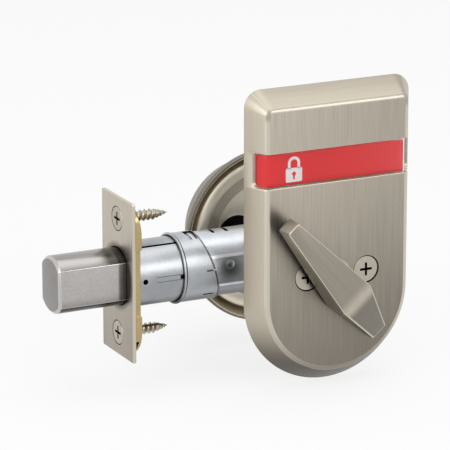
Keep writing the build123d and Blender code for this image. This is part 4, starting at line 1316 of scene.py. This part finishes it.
def thread_group():
    """A node group that winds threads round two screws, each with a run-out at its end."""
    tree = bpy.data.node_groups.new("threads", "GeometryNodeTree")
    tree.interface.new_socket("Geometry", in_out="OUTPUT", socket_type="NodeSocketGeometry")
    keys = {}
    for name, kind in THREAD_INPUTS.items():
        keys[name] = tree.interface.new_socket(name, in_out="INPUT", socket_type=kind).identifier
    nodes = Nodes(tree)
    given = {name: nodes.node("NodeGroupInput", {}, {}, key) for name, key in keys.items()}
    common = {"Resolution": given["Steps"], "Start Radius": given["Radius"]}
    run = {"Rotations": given["Turns"], "End Radius": given["Radius"], "Height": given["Length"]}
    run = nodes.node("GeometryNodeCurveSpiral", {}, {**common, **run}, "Curve")
    point = {"Rotations": given["Point turns"], "End Radius": given["Point radius"],
             "Height": given["Point length"]}
    point = nodes.node("GeometryNodeCurveSpiral", {}, {**common, **point}, "Curve")
    rise = nodes.node("ShaderNodeCombineXYZ", {}, {"Z": given["Length"]}, "Vector")
    point = nodes.node("GeometryNodeTransform", {}, {"Geometry": point, "Translation": rise}, "Geometry")
    section = {"Resolution": 4, "Radius": given["Height"]}
    section = nodes.node("GeometryNodeCurvePrimitiveCircle", {"mode": "RADIUS"}, section, "Curve")
    both = []
    for curve in (run, point):
        curve = nodes.node("GeometryNodeSetCurveNormal", {"mode": "Z_UP"}, {"Curve": curve}, "Curve")
        values = {"Curve": curve, "Profile Curve": section, "Fill Caps": True}
        both.append(nodes.node("GeometryNodeCurveToMesh", {}, values, "Mesh"))
    wound = nodes.node("GeometryNodeJoinGeometry", {}, {"Geometry": both}, "Geometry")
    values = {"Geometry": wound, "Translation": given["Start"], "Rotation": given["Turn"]}
    wound = nodes.node("GeometryNodeTransform", {}, values, "Geometry")
    places = nodes.node("GeometryNodeMeshLine", {}, {"Count": 2, "Offset": given["Gap"]}, "Mesh")
    values = {"Points": places, "Instance": wound}
    copies = nodes.node("GeometryNodeInstanceOnPoints", {}, values, "Instances")
    copies = nodes.node("GeometryNodeRealizeInstances", {}, {"Geometry": copies}, "Geometry")
    values = {"Geometry": copies, "Material": given["Metal"]}
    copies = nodes.node("GeometryNodeSetMaterial", {}, values, "Geometry")
    output = tree.nodes.new("NodeGroupOutput")
    tree.links.new(copies.socket, output.inputs[0])
    return tree, keys


def wind(name, values):
    """Winds a pair of threads and bakes them into one mesh."""
    tree, keys = thread_group()
    piece = thing(name, bmesh.new())
    change = piece.modifiers.new("threads", "NODES")
    change.node_group = tree
    for key, value in values.items():
        change[keys[key]] = value
    bake(piece)
    return piece


def make_wood_screws():
    """Two wood screws: countersunk heads with cross recesses, cores, points and threads."""
    screw = sizes("screw_sizes")
    start, end = low("faceplate_screws").x, high("faceplate_screws").x
    rim = high("faceplate_screws").y - screw.wood_gap
    core, edge = screw.wood_core, screw.wood_edge
    neck = start + screw.wood_head_depth
    shoulder = end - screw.wood_point
    profile = [(start, POLE), (start, rim - edge), (start + edge, rim), (start + screw.wood_rim, rim)]
    profile += [(neck, core), (shoulder, core)]
    profile += [(end - screw.wood_tip_length, screw.wood_tip), (end, screw.wood_end)]
    metal = plated_metal("screw_nickel", sizes("colours").nickel, rough=0.3, cloud=0.2)
    # Painted shade: the cross recesses are black.
    recess_shade = painted_shade_metal("wood_recess_shade")
    for z in wood_places():
        piece = thing("wood_screw", spun(profile, "X", steps=SCREW_STEPS, at=(0, 0, z)))
        carve(piece, [recess((start, 0, z), "X")], finish=CUT)
        settle(piece, metal, "lock_case", cut=recess_shade)
    run = screw.wood_turns * (shoulder - neck) / (screw.wood_turns + 1)
    values = {
        "Radius": core, "Point radius": screw.wood_last, "Length": run,
        "Point length": end - neck - run - screw.wood_bare, "Height": screw.wood_height,
        "Turns": float(screw.wood_turns), "Point turns": float(screw.wood_point_turns),
        "Steps": screw.turn_steps, "Start": (neck, 0, wood_places()[0]), "Turn": (0, QUARTER, 0),
        "Gap": (0, 0, screw.wood_spacing), "Metal": metal,
    }
    settle(wind("wood_threads", values), metal, "lock_case", ["faceplate_screws"])


def make_mounting_screws():
    """Two long screws with oval heads and cross recesses, and the threaded posts that they enter."""
    screw = sizes("screw_sizes")
    top, end = low("mounting_screws").y - screw.lift, high("mounting_screws").y
    seat = top + screw.crown + screw.rim
    ball = (screw.head**2 + screw.crown**2) / (2 * screw.crown)
    radii = [max(screw.head * i / CROWN_STEPS, POLE) for i in range(CROWN_STEPS + 1)]
    profile = [(top + ball - math.sqrt(ball**2 - radius**2), radius) for radius in radii]
    edge, end_edge = screw.head_edge, screw.end_edge
    profile += [(seat - edge, screw.head), (seat, screw.head - edge), (seat, screw.shank)]
    profile += [(end - end_edge, screw.shank), (end, screw.shank - end_edge), (end, POLE)]
    metal = turned_metal("screw_nickel_head", sizes("colours").nickel, rough=0.26, streak=0.3)
    # Painted shade: the cross recesses are black.
    recess_shade = painted_shade_metal("mounting_recess_shade")
    for x in mounting_places():
        piece = thing("mounting_screw", spun(profile, "Y", at=(x, 0, 0)))
        carve(piece, [recess((x, top + screw.recess_sink, 0), "Y")], finish=CUT)
        settle(piece, metal, "lock_case", ["mounting_screws"], cut=recess_shade)
    make_posts()


def make_posts():
    """The two blackened posts, with machine threads."""
    screw = sizes("screw_sizes")
    start, end = low("mounting_posts").y, high("mounting_posts").y
    shoulder = end - screw.post_stud_length
    core = high("mounting_posts").x - screw.spacing / 2 - screw.post_height
    bore = screw.shank + screw.bore_gap
    bottom = high("mounting_screws").y + screw.end_gap
    edge, stud = screw.post_edge, screw.post_stud
    profile = [(bottom, POLE), (bottom, bore), (start, bore), (start, core - edge)]
    profile += [(start + 2 * edge, core), (shoulder, core), (shoulder, stud), (end, stud), (end, POLE)]
    black = plated_metal("black_metal", sizes("colours").black, rough=0.4)
    for x in mounting_places():
        piece = thing("post", spun(profile, "Y", steps=POST_STEPS, at=(x, 0, 0)))
        settle(piece, black, "lock_case")
    pitch = (shoulder - start) / (screw.post_turns + 1)
    values = {
        "Radius": core - screw.thread_sink, "Point radius": core - screw.post_height,
        "Length": pitch * screw.post_turns, "Point length": pitch / 2, "Height": screw.post_height,
        "Turns": float(screw.post_turns), "Point turns": 0.5, "Steps": screw.turn_steps,
        "Start": (mounting_places()[0], start + screw.thread_start, 0), "Turn": (-QUARTER, 0, 0),
        "Gap": (screw.spacing, 0, 0), "Metal": black,
    }
    settle(wind("post_threads", values), black, "lock_case", ["mounting_posts"])


def case_cut(x, length, radius, depth, width, turn):
    """A cutter into a tube, at an angle above the room side."""
    cutter = box_mesh((x - length / 2, x + length / 2), (-radius - PAST, depth - radius), pair(width))
    cutter.transform(Matrix.Rotation(-turn, 4, "X"))
    return cutter


def make_tube():
    """The front tube, with its seam, its hole and the pressed groove."""
    case = sizes("case_sizes")
    start, end = low("front_tube").x, high("front_tube").x
    outer = high("front_tube").z
    inner = outer - case.wall
    profile = softened([(start, inner), (start, outer), (end, outer), (end, inner)], case.edge)
    piece = thing("tube", spun(profile, "X", hollow=True))
    seam_middle = (start + end) / 2 + case.seam_inset
    carve(piece, [
        case_cut(seam_middle, end - start, outer, case.wall + PAST, case.seam, case.seam_turn),
        rod(case.peep, -outer - PAST, 0, "Y", (start + case.peep_place, 0, 0)),
    ], finish=CUT)
    collar = low("adjusting_collar").x
    run = case.groove_length + PAST
    middle = collar + PAST - run / 2
    groove = case_cut(middle, run, outer, case.groove_depth, case.groove_width, 0)
    # Painted shade: the groove's walls and ends are black, while its floor stays plated.
    for face in groove.faces:
        face.material_index = CUT if abs(face.normal.y) < 0.5 else 0
    stop_width = case.groove_width * 0.8
    stop = case_cut(collar - case.stop_place, case.stop_length, outer, case.stop_depth, stop_width, 0)
    brow = case_cut(middle, run, outer, case.brow_depth, case.brow_width, 0)
    brow.transform(Matrix.Translation((0, 0, case.groove_width / 2 + case.brow_gap)))
    carve(piece, [groove])
    carve(piece, [stop, brow], finish=CUT)
    # Painted shade: every cut face, in the seam, the hole, the groove's deep end and the line above it, is
    # black.
    settle(piece, chrome("chrome_tube"), "lock_case", ["front_tube"],
           cut=painted_shade_metal("tube_gap_shade"))


def chrome(name, share=1.0, lower_shade_share=1.0):
    """Plating with painted reflection and shade: bright above and dark below, as if it mirrored the room;
    share makes a lit copy, and lower_shade_share darkens the lower half.
    """
    # Painted shade: darker below the axis, and darkest along the underside.
    middle = Fade("Z", -1 * MM, 5 * MM, 0.8 * lower_shade_share, 0.9)
    under = Fade("Z", -10.8 * MM, -6.5 * MM, 0.2, 1.0)
    colour = scaled(sizes("colours").chrome, share)
    return plated_metal(name, colour, rough=0.34, cloud=0.2, fades=[middle, under])


def make_collar():
    """The sleeve between the tubes, with its lip, slanting rear edge, opening and slits."""
    case = sizes("case_sizes")
    start, end = low("adjusting_collar").x, high("adjusting_collar").x
    lip = high("adjusting_collar").z
    outer = lip - case.lip
    tube = high("front_tube").z + case.joint_gap
    housing = high("rear_housing").z + case.joint_gap
    step = low("rear_housing").x - case.step_gap
    contact = tube + case.contact
    profile = [(start, tube), (start, contact), (start, outer)]
    profile += [(start + case.lip * 0.6, lip), (start + case.lip * 2.2, lip), (start + case.lip * 3, outer)]
    profile += [(end + PAST, outer), (end + PAST, housing), (step, housing), (step, tube)]
    piece = thing("collar", spun(softened(profile, case.collar_soft), "X", hollow=True))
    big = 3 * lip
    slope = math.atan2(case.slant, outer)
    slant = box_mesh((0, big), (-big, big), (-big, big))
    slant.transform(Matrix.Translation((case.collar_rear, 0, 0)) @ Matrix.Rotation(-slope, 4, "Y"))
    carve(piece, [slant])
    bevel(piece, case.rear_edge, angle=SQUARE_ANGLE)
    depth = case.opening_depth
    opening = (case.opening_place, case.opening_length, lip, depth, case.opening_width, case.opening_turn)
    cuts = [rear_groove(outer), case_cut(*opening)]
    for turn in (case.upper_slit_turn, case.lower_slit_turn):
        cuts.append(case_cut(case.slit_place, case.slit_length, lip, depth, case.slit_width, turn))
    carve(piece, cuts, finish=CUT)
    # The collar is a lit copy of the chrome; its front contact line, its rear edge and its cut faces, the
    # rear line, the opening and the slits, are painted black as shade.
    metals = [chrome("chrome_collar_lit", share=1.2), painted_shade_metal("collar_contact_shade")]
    settle(piece, metals, "lock_case", ["adjusting_collar"], cut=painted_shade_metal("collar_gap_shade"),
           choose=lambda face: collar_metal(face, contact))


def rear_groove(outer):
    """The cutter for the line that runs round the collar beside its slanting edge."""
    case = sizes("case_sizes")
    rings = []
    for i in range(ROUND_STEPS):
        t = math.tau * i / ROUND_STEPS
        ring = []
        for out, back in ((0, 1), (1, 1), (1, 0), (0, 0)):
            reach = outer - case.line_depth + out * PAST
            z = reach * math.sin(t)
            x = case.collar_rear - z * case.slant / outer - case.line_place - back * case.line_width
            ring.append(Vector((x, reach * math.cos(t), z)))
        rings.append(ring)
    return skin(rings, looped=True)


def collar_metal(face, contact):
    """Which of the collar's finishes a face takes: plated, or painted black as contact shadow at its front
    line and its rear edge.
    """
    front_line = face.normal.x < -COLLAR_FRONT and face.center.yz.length < contact
    return int(front_line or face.normal.x > COLLAR_REAR)


def housing_ring(x, inset):
    """Points round the housing's section at a place on X."""
    corner = high("rear_housing")
    return flatted_ring(x, corner.z - inset, corner.y - inset, HOUSING_STEPS)


def dimple(flat):
    """The profile of the mark that is punched into the housing's flat."""
    case = sizes("case_sizes")
    wide, depth = case.dimple, case.dimple_depth
    profile = [(-flat - PAST, wide * 1.3), (-flat, wide)]
    return profile + [(depth - flat, wide * 0.6), (depth + POLE - flat, POLE)]


def make_housing():
    """The wide tube round the drive, with side flats, an open top, two slots and a punched mark."""
    case = sizes("case_sizes")
    screw = sizes("screw_sizes")
    start, end = low("rear_housing").x, high("rear_housing").x
    outer, flat = high("rear_housing").z, high("rear_housing").y
    edge, wall = case.edge, case.housing_wall
    places = ((start, edge), (start + edge, 0), (end - 2 * edge, 0), (end, 2 * edge))
    piece = thing("housing", skin([housing_ring(x, inset) for x, inset in places]))
    mark = (start + case.dimple_place, 0, case.dimple_up)
    carve(piece, [spun(dimple(flat), "Y", steps=MARK_STEPS, at=mark)])
    through = (-flat - PAST, flat + PAST)
    sweep = high("bolt_tail").x + case.running_gap
    half = high("bolt_tail").y + case.running_gap
    cuts = [skin([housing_ring(x, wall) for x in (start - PAST, end - wall)])]
    cuts.append(box_mesh((-sweep, sweep), (-half, half), (0, outer + PAST)))
    cuts.append(rod(case.hub_hole, *through, "Y"))
    cuts += [rod(screw.shank + case.running_gap, *through, "Y", (x, 0, 0)) for x in mounting_places()]
    for step in range(2):
        x = start + case.slot_place + step * case.slot_pitch
        cuts.append(case_cut(x, case.slot_width, outer, 2 * wall, case.slot_length, QUARTER))
    carve(piece, cuts, finish=CUT)
    # Painted shade round the punched mark and on the flat's lower part, painted light elsewhere on it; the
    # housing is a lit copy of the chrome, and its cut faces are painted black as shade.
    mark_shade = Fade((mark[0], None, mark[2] - MM), 1.0 * MM, 6.5 * MM, 0.42, 1.7)
    up = Fade("Z", -2 * MM, 4.5 * MM, 1.0, 1.7)
    plating = sizes("colours").chrome
    shaded_flat_metal = plated_metal("chrome_flat_shaded", plating, rough=0.3, cloud=0.3, ripple=0.03 * MM,
                              fades=[mark_shade, up])
    flat_zone = 0.5 * MM - flat
    metals = [chrome("chrome_housing_lit", share=1.5, lower_shade_share=0.6), shaded_flat_metal]
    settle(piece, metals, "lock_case", ["rear_housing"], HOUSING_SMOOTH_ANGLE,
           cut=painted_shade_metal("housing_gap_shade"), choose=lambda face: int(face.center.y < flat_zone))


def make_rose():
    """The trim ring: rim, tapered wall, shoulder and face, turned from one profile."""
    rose = sizes("rose_sizes")
    door, face = low("rose").y, high("rose").y
    rim, wall = high("rose").x, rose.wall
    shoulder = door + rose.shoulder_depth
    outer = [(door, rim), (door + rose.rim, rim), (shoulder, rose.shoulder_radius), (face, rose.face_radius)]
    inner = [(face - wall, rose.face_radius - wall), (shoulder - wall, rose.shoulder_radius - wall)]
    inner += [(door + rose.rim - wall, rim - wall), (door, rim - wall)]
    profile = [*outer, (face, rose.hole), (face - wall, rose.hole), *inner]
    piece = thing("rose", spun(softened(profile, rose.edge), "Y", hollow=True, steps=ROSE_STEPS))
    # The outside is a shaded copy and the inside a lit copy of the lit nickel: painted shade and painted
    # light.
    light = sizes("colours").nickel_lit
    outside = turned_metal("nickel_rose", scaled(light, 0.42), rough=0.46)
    inside = turned_metal("nickel_rose_inside_lit", scaled(light, 1.5), rough=0.5)
    settle(piece, [outside, inside], "lock_case", ["rose"],
           choose=lambda face: int(face.normal.xz.dot(face.center.xz) < 0))
    make_ring()


def make_ring():
    """The pressed ring inside the rose: ridge, dish, and a floor with a lobed opening."""
    rose = sizes("rose_sizes")
    corner_low, corner_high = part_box("rose_liner")
    ridge, skirt, outer = corner_low.y, corner_high.y, corner_high.x
    wall, half = rose.ring_wall, rose.ridge_width / 2
    crown = ridge + rose.ridge_crown
    inner = outer - rose.ridge_width
    dish = inner - rose.dish_width
    back = low("cylinder_body").y
    floor = back - wall
    profile = [(floor, rose.lobe_middle), (floor, dish)]
    for i in range(RIDGE_STEPS + 1):
        t = math.pi * i / RIDGE_STEPS
        profile.append((crown - rose.ridge_crown * math.sin(t), outer - half - half * math.cos(t)))
    profile += [(skirt, outer), (skirt, outer - wall), (crown + wall, outer - wall)]
    profile += [(crown + wall, inner + wall), (back, dish + wall), (back, rose.lobe_middle)]
    piece = thing("ring", spun(softened(profile, rose.ring_edge), "Y", hollow=True, steps=ROSE_STEPS))
    through = (floor - PAST, back + PAST)
    places = pair(rose.lobe_spacing)
    carve(piece, [rod(rose.lobe, *through, "Y", (x, 0, 0), LOBE_STEPS) for x in places])
    bevel(piece, rose.lobe_edge, angle=SQUARE_ANGLE)
    colours = sizes("colours")
    # Painted light and shade: the ridge and the floor are a lit copy of the edge highlight, the dish a shaded
    # copy of the nickel.
    light = turned_metal("nickel_ring_lit", scaled(colours.nickel_edge_highlight, 1.5), rough=0.45)
    shaded_dish = turned_metal("nickel_dish_shaded", scaled(colours.nickel, 1.2), rough=0.5)
    settle(piece, [light, shaded_dish], "lock_case", ["rose_liner"],
           choose=lambda face: int(dish < face.center.xz.length < inner))
    make_cylinder()


def make_cylinder():
    """The lock cylinder's body, with its flange outside and its black back."""
    rose = sizes("rose_sizes")
    back, front = low("cylinder_body").y, high("cylinder_body").y
    flange, body = high("cylinder_body").x, rose.body_radius
    under = front - rose.flange_depth
    profile = [(back, rose.plug), (back, body), (under, body), (under, flange)]
    profile += [(front, flange), (front, rose.plug)]
    profile = softened(profile, rose.flange_edge)
    piece = thing("cylinder", spun(profile, "Y", hollow=True, steps=CYLINDER_STEPS))
    colours = sizes("colours")
    black = plated_metal("black_cylinder", colours.black, rough=0.4)
    # The flange takes the lit copy of the nickel: painted light.
    nickel = turned_metal("nickel_cylinder", colours.nickel_lit, rough=0.3)
    black_end = under - 0.1 * MM
    settle(piece, [black, nickel], "lock_case", ["cylinder_body"],
           choose=lambda face: int(face.center.y > black_end))


def finish_nodes(names, material):
    """Gives nodes that keep their own shape a finish."""
    for name in names:
        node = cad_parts[name]
        if not node.material_slots:
            node.data.materials.append(material)
        for place in node.material_slots:
            place.material = material


def make_rest():
    """Finishes for the nodes whose shape is kept."""
    colours = sizes("colours")
    finish_nodes(["key_plug", "plug_cap"], plated_metal("brass_plug", colours.brass, rough=0.25))
    zinc = plated_metal("zinc_parts", colours.zinc, rough=0.3)
    names = ["bolt_tail", "drive_cam", "lift_arm", "turn_spindle", "tailpiece", "inner_plate"]
    finish_nodes(names + ["anti_saw_pin", "tail_pin", "crank_pin", "spindle_clip"], zinc)
    finish_nodes(["flag_guide"], plastic("black_plastic", colours.black, rough=0.5))
    finish_nodes(["turn_bushing"], turned_metal("nickel_bush", colours.nickel, rough=0.34))


def seen(finish):
    """1 for rays that show the background, in the camera, in gloss and through glass."""
    camera = finish.node("ShaderNodeLightPath", {}, {}, "Is Camera Ray")
    glossy = finish.node("ShaderNodeLightPath", {}, {}, "Is Glossy Ray")
    through = finish.node("ShaderNodeLightPath", {}, {}, "Is Transmission Ray")
    total = camera + glossy + through
    return total.math("MINIMUM", total, 1.0)


def make_world():
    """A white surround, which lights the object more softly than it looks."""
    world = bpy.data.worlds.new("studio")
    world.use_nodes = True
    bpy.context.scene.world = world
    nodes = Nodes(world.node_tree)
    light = 0.65
    strength = light + seen(nodes) * (1 - light)
    sky = nodes.node("ShaderNodeBackground", {}, {"Color": (1, 1, 1, 1), "Strength": strength}, "Background")
    output = nodes.tree.nodes.new("ShaderNodeOutputWorld")
    nodes.tree.links.new(sky.socket, output.inputs["Surface"])


def make_floor():
    """A plain pale floor that keeps the object's shadow."""
    stage = sizes("stage_sizes")
    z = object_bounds()[0].z - stage.floor_gap
    reach = stage.floor_size
    corners = ((-reach, -reach), (reach, -reach), (reach, reach), (-reach, reach))
    mesh = bmesh.new()
    mesh.faces.new([mesh.verts.new((x, y, z)) for x, y in corners])
    floor = thing("floor", mesh)
    finish = Finish("pale_floor")
    grey, glow_share = 0.86, 0.8
    matt = finish.node("ShaderNodeBsdfDiffuse", {}, {"Color": (grey, grey, grey, 1)}, "BSDF")
    glow = finish.node("ShaderNodeEmission", {}, {"Color": (1, 1, 1, 1), "Strength": 1.0}, "Emission")
    values = {"Fac": seen(finish) * glow_share, "Shader": matt, "Shader_001": glow}
    floor.data.materials.clear()
    floor.data.materials.append(finish.end(finish.node("ShaderNodeMixShader", {}, values, "Shader")))
    floor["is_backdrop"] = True


def make_lamp(name, place, width, height, power):
    """A soft box that faces the object."""
    data = bpy.data.lights.new(name, "AREA")
    data.shape = "RECTANGLE"
    data.size = width
    data.size_y = height
    data.energy = power
    lamp = bpy.data.objects.new(name, data)
    lamp.location = place
    lamp.rotation_euler = (-Vector(place)).to_track_quat("-Z", "Y").to_euler()
    bpy.context.scene.collection.objects.link(lamp)


def make_camera():
    """The camera at the photograph's viewing angle."""
    stage = sizes("stage_sizes")
    level = math.cos(stage.tilt)
    ahead = Vector((math.sin(stage.turn) * level, math.cos(stage.turn) * level, -math.sin(stage.tilt)))
    right = Vector((math.cos(stage.turn), -math.sin(stage.turn), 0))
    above = right.cross(ahead)
    data = bpy.data.cameras.new("camera")
    camera = bpy.data.objects.new("camera", data)
    camera.location = stage.aside * right + stage.above * above - stage.distance * ahead
    camera.rotation_euler = ahead.to_track_quat("-Z", "Y").to_euler()
    data.lens = stage.lens_pixels * data.sensor_width / FRAME_PIXELS
    data.clip_start = 0.01
    bpy.context.scene.collection.objects.link(camera)
    bpy.context.scene.camera = camera


def make_stage():
    """The surround, the floor, the lamps and the camera."""
    make_world()
    make_floor()
    make_lamp("left_box", (-0.9, -0.35, 0.35), width=0.7, height=0.9, power=3.5)
    make_lamp("top_box", (0.1, -0.1, 1.0), width=1.0, height=0.9, power=3)
    make_lamp("front_box", (0.5, -1.1, 0.6), width=0.8, height=0.6, power=4)
    make_camera()
    bpy.context.scene.view_settings.view_transform = "Standard"


class DEADBOLT_OT_rest(bpy.types.Operator):
    """Finish the pieces that keep their own shape"""

    bl_idname = "deadbolt.rest"
    bl_label = "Other pieces"

    def execute(self, context):
        make_rest()
        return {"FINISHED"}


class DEADBOLT_OT_cover(bpy.types.Operator):
    """Make the cover and its clear window"""

    bl_idname = "deadbolt.cover"
    bl_label = "Cover and window"

    def execute(self, context):
        make_cover()
        return {"FINISHED"}


class DEADBOLT_OT_flag(bpy.types.Operator):
    """Make the sliding status flag with its signs"""

    bl_idname = "deadbolt.flag"
    bl_label = "Status flag"

    def execute(self, context):
        make_flag()
        return {"FINISHED"}


class DEADBOLT_OT_grip(bpy.types.Operator):
    """Make the thumbturn's grip"""

    bl_idname = "deadbolt.grip"
    bl_label = "Thumbturn"

    def execute(self, context):
        make_grip()
        return {"FINISHED"}


class DEADBOLT_OT_bolt(bpy.types.Operator):
    """Make the bolt"""

    bl_idname = "deadbolt.bolt"
    bl_label = "Bolt"

    def execute(self, context):
        make_bolt()
        return {"FINISHED"}


class DEADBOLT_OT_plates(bpy.types.Operator):
    """Make the faceplate and the bowed plate behind it"""

    bl_idname = "deadbolt.plates"
    bl_label = "Faceplate"

    def execute(self, context):
        make_faceplate()
        make_backing_plate()
        return {"FINISHED"}


class DEADBOLT_OT_screws(bpy.types.Operator):
    """Make the wood screws, the mounting screws and their posts"""

    bl_idname = "deadbolt.screws"
    bl_label = "Screws"

    def execute(self, context):
        make_wood_screws()
        make_mounting_screws()
        return {"FINISHED"}


class DEADBOLT_OT_case(bpy.types.Operator):
    """Make the tubes of the bolt case"""

    bl_idname = "deadbolt.case"
    bl_label = "Bolt case"

    def execute(self, context):
        make_tube()
        make_collar()
        make_housing()
        return {"FINISHED"}


class DEADBOLT_OT_rose(bpy.types.Operator):
    """Make the outer trim ring, the ring inside it and the cylinder"""

    bl_idname = "deadbolt.rose"
    bl_label = "Trim ring"

    def execute(self, context):
        make_rose()
        return {"FINISHED"}


class DEADBOLT_OT_stage(bpy.types.Operator):
    """Make the floor, the lamps and the camera"""

    bl_idname = "deadbolt.stage"
    bl_label = "Stage"

    def execute(self, context):
        make_stage()
        return {"FINISHED"}


GROUPS = {
    "cover_sizes": CoverSizes,
    "flag_sizes": FlagSizes,
    "grip_sizes": GripSizes,
    "bolt_sizes": BoltSizes,
    "plate_sizes": PlateSizes,
    "case_sizes": CaseSizes,
    "screw_sizes": ScrewSizes,
    "rose_sizes": RoseSizes,
    "colours": Colours,
    "stage_sizes": StageSizes,
}
STEPS = [
    DEADBOLT_OT_rest, DEADBOLT_OT_cover, DEADBOLT_OT_flag, DEADBOLT_OT_grip, DEADBOLT_OT_bolt,
    DEADBOLT_OT_plates, DEADBOLT_OT_screws, DEADBOLT_OT_case, DEADBOLT_OT_rose, DEADBOLT_OT_stage,
]


class DEADBOLT_PT_panel(bpy.types.Panel):
    """The steps that dress the deadbolt"""

    bl_label = "Deadbolt"
    bl_space_type = "VIEW_3D"
    bl_region_type = "UI"
    bl_category = "Deadbolt"

    def draw(self, context):
        for step in STEPS:
            self.layout.operator(step.bl_idname)
        for group, kind in GROUPS.items():
            box = self.layout.box()
            for name in kind.__annotations__:
                box.prop(getattr(context.scene, group), name)


def register():
    """Makes the sizes, the steps and the panel known."""
    for kind in [*GROUPS.values(), *STEPS, DEADBOLT_PT_panel]:
        bpy.utils.register_class(kind)
    for group, kind in GROUPS.items():
        setattr(bpy.types.Scene, group, PointerProperty(type=kind))


def unregister():
    """Takes away what register made known."""
    for group in GROUPS:
        delattr(bpy.types.Scene, group)
    for kind in [DEADBOLT_PT_panel, *reversed(STEPS), *reversed(GROUPS.values())]:
        bpy.utils.unregister_class(kind)


def main():
    """Dresses the part."""
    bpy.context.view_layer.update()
    register()
    for step in STEPS:
        group, name = step.bl_idname.split(".")
        getattr(getattr(bpy.ops, group), name)()


if __name__ == "__main__":
    main()
